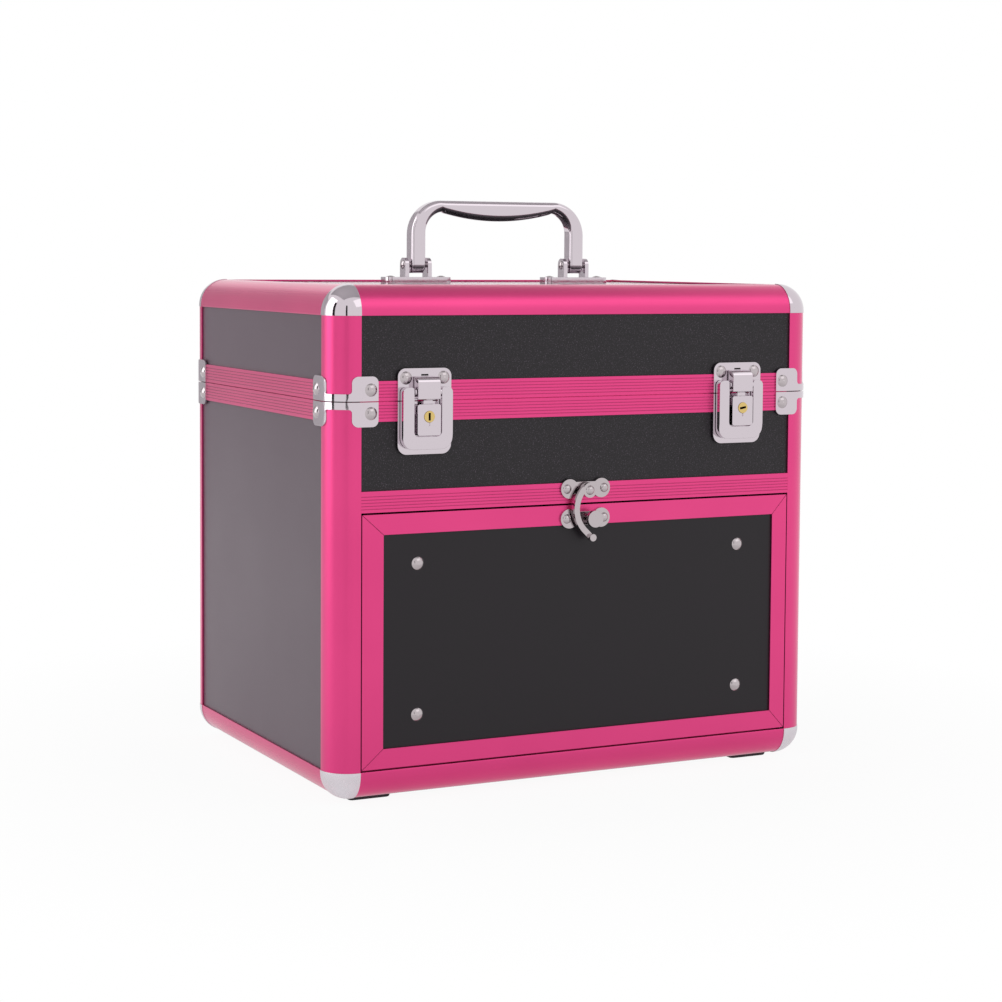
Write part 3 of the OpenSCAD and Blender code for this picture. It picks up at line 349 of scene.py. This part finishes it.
def rounded(corners, steps=6):
    """Outline through corners (a, b, radius), each rounded with its own radius."""
    points = []
    for k, (a, b, radius) in enumerate(corners):
        here = Vector((a, b))
        if radius == 0:
            points.append(here)
            continue
        back = (Vector(corners[k - 1][:2]) - here).normalized()
        on = (Vector(corners[(k + 1) % len(corners)][:2]) - here).normalized()
        half = back.angle(on) / 2
        centre = here + (back + on).normalized() * radius / sin(half)
        start = here + back * radius / tan(half) - centre
        end = here + on * radius / tan(half) - centre
        first = atan2(start.y, start.x)
        sweep = (atan2(end.y, end.x) - first + pi) % (2 * pi) - pi
        for n in range(steps + 1):
            angle = first + sweep * n / steps
            points.append(centre + radius * Vector((cos(angle), sin(angle))))
    return points


def layered(form, layers):
    """Adds a closed solid through rings of points, from its first ring to its last."""
    rings = [[form.verts.new(point) for point in layer] for layer in layers]
    form.faces.new(rings[0])
    form.faces.new(rings[-1])
    for ring, following in zip(rings, rings[1:]):
        for k in range(len(ring)):
            form.faces.new((ring[k], ring[k - 1], following[k - 1], following[k]))


foot_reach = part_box("rubber_feet")[1]
foot_half, foot_corner = 14.5, 3
# Inset and height of each ring, from the recess over the tread and its edge to the sloped side.
foot_rings = ((6.6, 1.2), (5.8, 0), (1.2, 0), (0.8, 0.4), (0, 2.8), (0, foot_reach.z / MM))
feet = bmesh.new()
for side in (-1, 1):
    for end in (-1, 1):
        middle_x = side * (foot_reach.x - foot_half * MM)
        middle_y = end * (foot_reach.y - foot_half * MM)
        layers = []
        for inset, height in foot_rings:
            half, corner = foot_half - inset, max(foot_corner - inset / 2, 1)
            outline = rounded([(half, half, corner), (-half, half, corner),
                               (-half, -half, corner), (half, -half, corner)])
            layers.append([(middle_x + a * MM, middle_y + b * MM, height * MM) for a, b in outline])
        layered(feet, layers)
as_piece("moulded_feet", feet, [moulded_rubber()], "rubber", "rubber_feet")

# ---------------------------------------------------------------------------------------------
# Rear hinges. Pressed steel leaves with rolled knuckles, riveted to the rims, and a plain pin.
# Nickel plate gives them a warmer, duller shine than the chrome.

nickel = plated("nickel_plated_steel", "#BCB3B6", 0.12)
eased("hinge_base_leaves", 0.2 * MM, [nickel], "nickel")
eased("hinge_lid_leaves", 0.2 * MM, [nickel], "nickel")
dress(nickel, "hinge_pins")

# ---------------------------------------------------------------------------------------------
# Corner brackets and rivets. Stamped steel angles that tie the rim rails to the posts, held by
# dome-headed rivets, with their edges tumbled round before plating.

eased("base_corner_brackets", 0.3 * MM, [chrome], "chrome", steps=3)
eased("lid_corner_brackets", 0.3 * MM, [chrome], "chrome", steps=3)
dress(nickel, "base_rivets", "lid_rivets", "drawer_rivets")

# ---------------------------------------------------------------------------------------------
# Linings. 2 mm closed-cell EVA foam sheet, cut to size and glued to the inside of base and lid,
# where handling has rounded its cut edges.


def eva_foam():
    """Closed-cell foam: dark grey, quite matt, with a 0.5 mm cell texture."""
    material, tree, place = start_material("grey_eva_foam")
    cells = put(tree, "ShaderNodeTexVoronoi", {"Vector": place, "Scale": 1 / (0.5 * MM)})
    cloud = put(tree, "ShaderNodeTexNoise", {"Vector": place, "Scale": 1 / (30 * MM), "Detail": 3})
    shade = put(tree, "ShaderNodeMix", {
        "Factor": cloud.outputs["Fac"], 6: linear("#2C292E"), 7: linear("#3C383D")}, data_type="RGBA")
    bump = put(tree, "ShaderNodeBump", {
        "Height": cells.outputs["Distance"], "Strength": 0.5, "Distance": 0.1 * MM})
    end_material(tree, {
        "Base Color": shade.outputs[2], "Roughness": 0.85, "Sheen Weight": 0.2,
        "Normal": bump.outputs[0]})
    return material


foam = eva_foam()
eased("compartment_lining", 0.7 * MM, [foam], "foam_lining", steps=3)
eased("lid_lining", 0.7 * MM, [foam], "foam_lining", steps=3)

# ---------------------------------------------------------------------------------------------
# Drawer frame. Four lengths of a flat pink profile, mitred and pinned at the corners, with the
# vinyl-faced board in their slots. They are planed to fit, so no two are quite equally wide.

lip, rail_depth, slot_share = 1.2 * MM, 6.6 * MM, 0.5
frame_low, frame_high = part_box("drawer_front_frame")
frame_mid = (frame_low + frame_high) / 2
half_wide = (frame_high.x - frame_low.x) / 2
half_high = (frame_high.z - frame_low.z) / 2
rails = bmesh.new()
# From the low member round by the left, high and right ones: its width, and those of the
# members at its start and end, which set where its mitres run.
low_w, left_w, high_w, right_w = 12.1 * MM, 14.1 * MM, 12.6 * MM, 11.1 * MM
mitre_gap = 0.2 * MM
for quarter, own_w, start_w, end_w in ((0, low_w, left_w, right_w), (1, left_w, high_w, low_w),
                                       (2, high_w, right_w, left_w), (3, right_w, low_w, high_w)):
    upright = quarter % 2 == 1
    half_long, half_other = (half_high, half_wide) if upright else (half_wide, half_high)
    turn = Matrix.Rotation(quarter * pi / 2, 3, "Y")
    section = [(0, 0), (1, 0), (1, lip), (slot_share, lip), (slot_share, rail_depth - lip),
               (1, rail_depth - lip), (1, rail_depth), (0, rail_depth)]
    ends = []
    for end, mitre_w in ((-1, start_w), (1, end_w)):
        ends.append([rails.verts.new(
            Vector((frame_mid.x, frame_low.y, frame_mid.z))
            + turn @ Vector((end * (half_long - share * mitre_w - mitre_gap), depth,
                             share * own_w - half_other)))
            for share, depth in section])
    rails.faces.new(ends[0])
    rails.faces.new(ends[1])
    for k in range(len(section)):
        rails.faces.new((ends[0][k], ends[0][k - 1], ends[1][k - 1], ends[1][k]))
soften(rails, 0.22 * MM, steps=2)


def frame_finish(face):
    """Uprights are the faces nearer to the frame's sides than to its top and bottom."""
    from_side = half_wide - abs(face.center.x - frame_mid.x)
    from_top = half_high - abs(face.center.z - frame_mid.z)
    return 1 if from_side < from_top else 0


as_piece("drawer_frame_rails", rails, [pink_x, pink_z], "anodised_profile", "drawer_front_frame",
         finish_of=frame_finish)

# ---------------------------------------------------------------------------------------------
# Drawer bin. One open tray of black ABS sheet with a fine texture, vacuum-formed, so its edges
# are round. It is screwed to the back of the drawer's front and runs on the two guides.


def textured_abs():
    """Formed ABS sheet: black, with a 0.6 mm haircell texture and a soft plastic shine."""
    material, tree, place = start_material("black_haircell_abs")
    cells = put(tree, "ShaderNodeTexNoise", {"Vector": place, "Scale": 1 / (0.6 * MM), "Detail": 3})
    shade = put(tree, "ShaderNodeMix", {
        "Factor": cells.outputs["Fac"], 6: linear("#1F1E20"), 7: linear("#2F2D30")}, data_type="RGBA")
    bump = put(tree, "ShaderNodeBump", {
        "Height": cells.outputs["Fac"], "Strength": 0.5, "Distance": 0.08 * MM})
    end_material(tree, {
        "Base Color": shade.outputs[2], "Roughness": 0.5, "IOR": 1.53, "Normal": bump.outputs[0]})
    return material


eased("drawer_bin", 0.5 * MM, [textured_abs()], "moulded_bin", steps=2)

# ---------------------------------------------------------------------------------------------
# Swing hook. A cast arm on a riveted plate drops behind the headed stud of the plate on the
# drawer. All of it is tumbled smooth, so no edge is sharp, and nickel plated.

eased("hook_plate", 0.4 * MM, [nickel], "nickel", steps=3)
eased("drawer_catch", 0.5 * MM, [nickel], "nickel", steps=3)
eased("swing_hook", 0.7 * MM, [nickel], "nickel", steps=4)

# ---------------------------------------------------------------------------------------------
# Latch plates and lock bodies. The base plate and the strike plate are stamped steel with
# rounded corners. The strike's ledge is bent out of a slot above the tab. The lock's case is
# drawn from sheet, and its face has a small stake mark under the key plug.


def height_of(name):
    """Height of a joint's axis."""
    return next(joint["pos_m"][2] for joint in frame["joints"] if joint["name"] == name)


lever_half = 16.5
board_recess = 1.3 * MM
latch_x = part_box("right_latch_lever")[0].x + lever_half * MM
front_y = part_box("base_front_panel")[0].y - board_recess
seam_z = height_of("lid_hinge")


def at_latch(side):
    """Turns (across, up, out) at a latch, in millimetres, into a point of the case."""
    return lambda across, up, out: Vector((
        side * latch_x + across * MM, front_y - out * MM, seam_z + up * MM))


def prism(form, outline, near, far, place):
    """Adds a closed solid between two copies of an outline."""
    layered(form, [[place(a, b, depth) for a, b in outline] for depth in (near, far)])


def cut(form, tool):
    """Takes one solid out of another."""
    blanks = []
    for name, part in (("kept_blank", form), ("cutting_blank", tool)):
        bmesh.ops.recalc_face_normals(part, faces=part.faces)
        mesh = bpy.data.meshes.new(name)
        part.to_mesh(mesh)
        part.free()
        blanks.append(bpy.data.objects.new(name, mesh))
        bpy.context.scene.collection.objects.link(blanks[-1])
    taking = blanks[0].modifiers.new("taking", "BOOLEAN")
    taking.operation, taking.object, taking.solver = "DIFFERENCE", blanks[1], "EXACT"
    bpy.context.view_layer.update()
    result = bmesh.new()
    result.from_object(blanks[0], bpy.context.evaluated_depsgraph_get())
    for blank in blanks:
        bpy.data.meshes.remove(blank.data)
    return result


def punched(node, half, low, high, near, far):
    """The pieces of a node at both latches, with a rectangular mark punched into each."""
    punches = bmesh.new()
    outline = [(-half, low), (half, low), (half, high), (-half, high)]
    for side in (-1, 1):
        prism(punches, outline, near, far, at_latch(side))
    return cut(blank_of(node), punches)


strikes = punched("latch_strikes", half=2.4, low=15.2, high=16.2, near=-1, far=3)
soften(strikes, 0.45 * MM, 3)
as_piece("strike_plates", strikes, [chrome], "chrome", "latch_strikes")
eased("latch_base_plates", 0.4 * MM, [chrome], "chrome", steps=3)
dress(nickel, "latch_pivot_pins")

locks = punched("latch_lock_bodies", half=0.4, low=-15, high=-12.6, near=7.6, far=9)
soften(locks, 0.6 * MM, 3)
as_piece("lock_cases", locks, [chrome], "chrome", "latch_lock_bodies")

brass = plated("polished_brass", "#D8BC78", 0.14)
# Painted shade: a near-black finish for the faces deep inside the keyways.
keyway_shade = plated("painted_keyway_shade", "#1A1714", 0.4)
plug_up, plug_out, keyway_reach, shade_depth = -9.4, 8.7, 2.6, 0.3


def plug_finish(face):
    """Faces deep inside the keyway get a near-black finish as painted shade, the rest of the plug is brass."""
    from_axis = hypot(abs(face.center.x) - latch_x, face.center.z - (seam_z + plug_up * MM))
    behind = face.center.y - (front_y - plug_out * MM)
    return 1 if from_axis < keyway_reach * MM and behind > shade_depth * MM else 0


for side in ("left", "right"):
    eased(side + "_key_plug", 0.25 * MM, [brass, keyway_shade], "brass", finish_of=plug_finish)

# ---------------------------------------------------------------------------------------------
# Latch levers and hook tabs. The lever is die-cast: a U with a broad chamfer all round, whose
# lower bar slopes back for the finger. The tab is folded from sheet over its cross pin.

open_half, lever_top, lever_bottom, bar_top = 9.15, 8.4, -29.6, -21.6
lever_back, lever_front, outer_chamfer, inner_chamfer = 1.8, 6.6, 1.5, 0.8
slope_from, slope = -19.5, 0.12
lever_outline = rounded([
    (-lever_half, lever_top, 3.2), (-open_half, lever_top, 1.6), (-open_half, bar_top, 3),
    (open_half, bar_top, 3), (open_half, lever_top, 1.6), (lever_half, lever_top, 3.2),
    (lever_half, lever_bottom, 7), (-lever_half, lever_bottom, 7)])


def lever_form(side):
    """The cast lever at one latch."""
    place = at_latch(side)
    form = bmesh.new()
    prism(form, lever_outline, lever_back, lever_front, place)
    bmesh.ops.recalc_face_normals(form, faces=form.faces)
    face_y = place(0, 0, lever_front).y
    bar_z = place(0, bar_top, 0).z
    near = 0.1 * MM

    def on_face(vert):
        return abs(vert.co.y - face_y) < 0.1 * near

    def by_opening(vert):
        across = abs(vert.co.x - side * latch_x)
        return across < open_half * MM + near and vert.co.z > bar_z - near

    for chamfer, at_opening in ((outer_chamfer, False), (inner_chamfer, True)):
        edges = [edge for edge in form.edges
                 if all(map(on_face, edge.verts)) and all(map(by_opening, edge.verts)) == at_opening]
        bmesh.ops.bevel(form, geom=edges, offset=chamfer * MM, segments=1, affect="EDGES",
                        clamp_overlap=True)
    bmesh.ops.bisect_plane(form, geom=form.verts[:] + form.edges[:] + form.faces[:],
                           plane_co=place(0, slope_from, 0), plane_no=(0, 0, 1))
    for vert in form.verts:
        below = place(0, slope_from, 0).z - vert.co.z
        if below > 0 and vert.co.y < place(0, 0, 3).y:
            vert.co.y += slope * below
    soften(form, 0.22 * MM, 2, sharper_than=20)
    return form


tab_half, tab_bottom, tab_top, tab_front, tab_tip = 7.55, 1.1, 14.8, 8.6, 2.0
tab_sheet, tab_cheek, fold_r = 1.2, 1.0, 4.2


def tab_form(side):
    """The folded hook tab at one latch, with its cross pin."""
    place = at_latch(side)

    def sideways(out, up, across):
        return place(across, up, out)

    shell = bmesh.new()
    prism(shell, rounded([
        (tab_tip, tab_bottom, 0), (tab_front, tab_bottom, 0), (tab_front, tab_top, fold_r),
        (tab_tip, tab_top, 0)]), -tab_half, tab_half, sideways)
    hollow = bmesh.new()
    inside_half = tab_half - tab_cheek
    inside_front, inside_top = tab_front - tab_sheet, tab_top - tab_sheet
    prism(hollow, rounded([
        (0, 0, 0), (inside_front, 0, 0), (inside_front, inside_top, fold_r - tab_sheet),
        (0, inside_top, 0)]), -inside_half, inside_half, sideways)
    form = cut(shell, hollow)
    soften(form, 0.5 * MM, 3)
    pin_out, pin_up, pin_r, pin_half, pin_sides = 4.8, 2.2, 1.0, 11.5, 24
    turns = [2 * pi * k / pin_sides for k in range(pin_sides)]
    ring = [(pin_out + pin_r * cos(turn), pin_up + pin_r * sin(turn)) for turn in turns]
    prism(form, ring, -pin_half, pin_half, sideways)
    return form


for side, hand in ((-1, "left"), (1, "right")):
    as_piece(hand + "_cast_lever", lever_form(side), [chrome], "chrome", hand + "_latch_lever")
    as_piece(hand + "_folded_tab", tab_form(side), [chrome], "chrome", hand + "_latch_hook")

# ---------------------------------------------------------------------------------------------
# Carrying handle. One zinc casting, polished and chromed: two legs with round eyes, two bends
# and a grip that bellies down under the fingers. It turns on pins in two riveted mounts.

eased("handle_mounts", 0.7 * MM, [chrome], "chrome", steps=3)
dress(nickel, "handle_pins")

pivot_z = height_of("handle_fold")
handle_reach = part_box("carry_handle")[1]
leg_outer = handle_reach.x / MM
rise = (handle_reach.z - pivot_z) / MM
leg_w, half_deep, grip_t = 10.2, 5.8, 8.2
outer_bend, inner_bend = 22.4, 15.0
leg_inner = leg_outer - leg_w
belly, belly_inset = 5.3, 14
belly_half = leg_inner - belly_inset
belly_r = (belly_half ** 2 + belly ** 2) / (2 * belly)


def underside(across):
    """Height of the grip's underside."""
    flat = rise - grip_t
    if abs(across) >= belly_half:
        return flat
    return flat - belly + belly_r - sqrt(belly_r ** 2 - across ** 2)


def handle_stations():
    """Pairs of outer and inner points along the left half, with the half depth there."""
    eye_from, eye_steps, leg_steps, bend_steps, grip_steps = radians(-82), 7, 4, 16, 20
    bend_z = rise - outer_bend
    for k in range(eye_steps):
        angle = eye_from * (1 - k / eye_steps)
        height = half_deep * sin(angle)
        yield (-leg_outer, height), (-leg_inner, height), half_deep * cos(angle)
    for k in range(leg_steps):
        height = bend_z * k / leg_steps
        yield (-leg_outer, height), (-leg_inner, height), half_deep
    for k in range(bend_steps):
        angle = pi - pi / 2 * k / bend_steps
        outer_x = -leg_outer + outer_bend * (1 + cos(angle))
        inner_x = -leg_inner + inner_bend * (1 + cos(angle))
        yield ((outer_x, bend_z + outer_bend * sin(angle)),
               (inner_x, bend_z + inner_bend * sin(angle)), half_deep)
    for k in range(grip_steps + 1):
        share = k / grip_steps
        outer_x = -(leg_outer - outer_bend) * (1 - share)
        inner_x = -(leg_inner - inner_bend) * (1 - share)
        yield (outer_x, rise), (inner_x, underside(inner_x)), half_deep


leg_round, more_above, more_below = 2.4, 1.4, 2.4


def handle_ring(outer, inner, deep):
    """A section with rounded corners between an outer and an inner point. The grip is rounder
    than the legs, most of all below."""
    outer, inner = Vector(outer), Vector(inner)
    middle, half_thick = (outer + inner) / 2, (outer - inner).length / 2
    outward = (outer - inner).normalized()
    on_grip = max(outward.y, 0)
    over = min(leg_round + more_above * on_grip, 0.8 * half_thick, 0.9 * deep)
    under = min(leg_round + more_below * on_grip, 1.15 * half_thick, 0.9 * deep)
    ring = []
    for a, b in rounded([(half_thick, deep, over), (-half_thick, deep, under),
                         (-half_thick, -deep, under), (half_thick, -deep, over)], steps=5):
        spot = middle + outward * a
        ring.append((spot.x * MM, b * MM, pivot_z + spot.y * MM))
    return ring


handle = bmesh.new()
stations = list(handle_stations())
stations += [((-outer[0], outer[1]), (-inner[0], inner[1]), deep)
             for outer, inner, deep in reversed(stations[:-1])]
layered(handle, [handle_ring(*station) for station in stations])
as_piece("cast_handle", handle, [chrome], "chrome", "carry_handle")

# ---------------------------------------------------------------------------------------------
# Studio. White paper floor, white surroundings, two softboxes and the camera. Matt black flags
# beside the camera and pale grey cards above and behind give the metal something to reflect.

camera = bpy.data.objects.new("camera", bpy.data.cameras.new("camera"))
bpy.context.scene.collection.objects.link(camera)
bpy.context.scene.camera = camera
camera.data.sensor_width = 36
camera.data.lens = 81.097
camera.data.shift_x, camera.data.shift_y = -0.0109, -0.0993
# Place and turn come from a fit to the straight edges in the photo.
camera_place = (-0.68409, -1.377217, 0.336903)
yaw, pitch, roll = radians(26.844), radians(-3.7344), radians(0.4)
facing = (Matrix.Rotation(-yaw, 4, "Z") @ Matrix.Rotation(pi / 2 + pitch, 4, "X")
          @ Matrix.Rotation(roll, 4, "Z"))
camera.matrix_world = Matrix.Translation(camera_place) @ facing


def rays(tree, *kinds):
    """1 for rays of these kinds and 0 for all others."""
    path = put(tree, "ShaderNodeLightPath")
    share = path.outputs[kinds[0]]
    for kind in kinds[1:]:
        either = put(tree, "ShaderNodeMath", {0: share, 1: path.outputs[kind]}, operation="MAXIMUM")
        share = either.outputs[0]
    return share


surroundings = 0.55
world = bpy.data.worlds.new("white_studio")
bpy.context.scene.world = world
world.use_nodes = True
tree = world.node_tree
tree.nodes.clear()
shown = rays(tree, "Is Camera Ray", "Is Glossy Ray", "Is Transmission Ray")
lit = put(tree, "ShaderNodeBackground", {"Color": (1, 1, 1, 1), "Strength": surroundings})
seen = put(tree, "ShaderNodeBackground", {"Color": (1, 1, 1, 1), "Strength": 1.0})
mix = put(tree, "ShaderNodeMixShader", {0: shown, 1: lit.outputs[0], 2: seen.outputs[0]})
put(tree, "ShaderNodeOutputWorld", {"Surface": mix.outputs[0]})


def stage_plane(name, place, aim, size, material):
    """A flat piece of the studio, facing its aim."""
    form = bmesh.new()
    bmesh.ops.create_grid(form, x_segments=1, y_segments=1, size=0.5)
    mesh = bpy.data.meshes.new(name)
    form.to_mesh(mesh)
    form.free()
    mesh.materials.append(material)
    plane = bpy.data.objects.new(name, mesh)
    bpy.context.scene.collection.objects.link(plane)
    plane.scale = (size[0], size[1], 1)
    plane.location = place
    plane.rotation_euler = (Vector(aim) - Vector(place)).to_track_quat("Z", "Y").to_euler()
    return plane


def white_paper():
    """Matt paper, seen as pure white with a trace of the case's shadow. Close to the case it is
    in shade, so the metal mirrors it darker there."""
    material, tree = start_material("white_paper_floor")[:2]
    world_place = put(tree, "ShaderNodeNewGeometry").outputs["Position"]
    distance = put(tree, "ShaderNodeVectorMath", {0: world_place}, operation="LENGTH")
    whole = put(tree, "ShaderNodeMapRange", {
        "Value": distance.outputs["Value"], "From Min": 0.22, "From Max": 0.5,
        "To Min": 0.94, "To Max": 1})
    dimmed = put(tree, "ShaderNodeMapRange", {
        "Value": distance.outputs["Value"], "From Min": 0.2, "From Max": 0.8,
        "To Min": 0.58, "To Max": 1})
    seen_white = put(tree, "ShaderNodeMath", {
        0: whole.outputs[0], 1: rays(tree, "Is Camera Ray")}, operation="MULTIPLY")
    mirrored_white = put(tree, "ShaderNodeMath", {
        0: dimmed.outputs[0], 1: rays(tree, "Is Glossy Ray", "Is Transmission Ray")},
        operation="MULTIPLY")
    share = put(tree, "ShaderNodeMath", {
        0: seen_white.outputs[0], 1: mirrored_white.outputs[0]}, operation="ADD")
    sheet = put(tree, "ShaderNodeBsdfDiffuse", {"Color": (0.86, 0.86, 0.86, 1)})
    white = put(tree, "ShaderNodeEmission", {"Color": (1, 1, 1, 1), "Strength": 1.0})
    mix = put(tree, "ShaderNodeMixShader", {
        0: share.outputs[0], 1: sheet.outputs[0], 2: white.outputs[0]})
    put(tree, "ShaderNodeOutputMaterial", {"Surface": mix.outputs[0]})
    return material


def fibrous(name, dark, light):
    """Matt stock with fine fibres. Black felt gives the metal a dark stripe, and pale card gives
    it a soft grey field."""
    material, tree, place = start_material(name)
    fibres = put(tree, "ShaderNodeTexNoise", {"Vector": place, "Scale": 400.0})
    shade = put(tree, "ShaderNodeMix", {
        "Factor": fibres.outputs["Fac"], 6: linear(dark), 7: linear(light)}, data_type="RGBA")
    end_material(tree, {"Base Color": shade.outputs[2], "Roughness": 0.9})
    return material


def mirrored_plane(name, place, aim, size, material):
    """A plane that shows in the metal alone: it isn't seen, and it neither shades nor lights."""
    plane = stage_plane(name, place, aim, size, material)
    plane.visible_camera = False
    plane.visible_shadow = False
    plane.visible_diffuse = False


stage_plane("floor", (0, 0, 0), (0, 0, 1), (12, 12), white_paper())
felt = fibrous("matt_black_felt", "#0C0C0D", "#1A1A1C")
mirrored_plane("camera_flag", (-1.035, -1.593, 0.72), (0, 0, 0.72), (0.2, 1.2), felt)
mirrored_plane("left_flag", (-1.679, -0.266, 0.78), (0, 0, 0.78), (0.3, 1.3), felt)
card = fibrous("grey_card", "#F0EEF0", "#F8F6F8")
mirrored_plane("ceiling_card", (0, 0.6, 2.3), (0, 0.6, 0), (2.8, 3.4), card)
mirrored_plane("rear_left_card", (-1.0, 1.9, 0.8), (0, 0, 0.8), (1.9, 1.56), card)


def softbox(name, place, aim, size, radiance):
    """A soft light of one brightness over its whole face."""
    light = bpy.data.lights.new(name, "AREA")
    light.shape = "RECTANGLE"
    light.size, light.size_y = size
    light.energy = radiance * pi * size[0] * size[1]
    lamp = bpy.data.objects.new(name, light)
    bpy.context.scene.collection.objects.link(lamp)
    lamp.location = place
    lamp.rotation_euler = (Vector(aim) - Vector(place)).to_track_quat("-Z", "Y").to_euler()


softbox("left_box", (-1.85, 0.4, 0.9), (0, 0, 0.2), (1.3, 1.9), 1.35)
softbox("front_box", (0.67, -1.34, 1.45), (0, 0, 0.2), (1.5, 0.9), 0.5)

bpy.context.scene.view_settings.view_transform = "Standard"
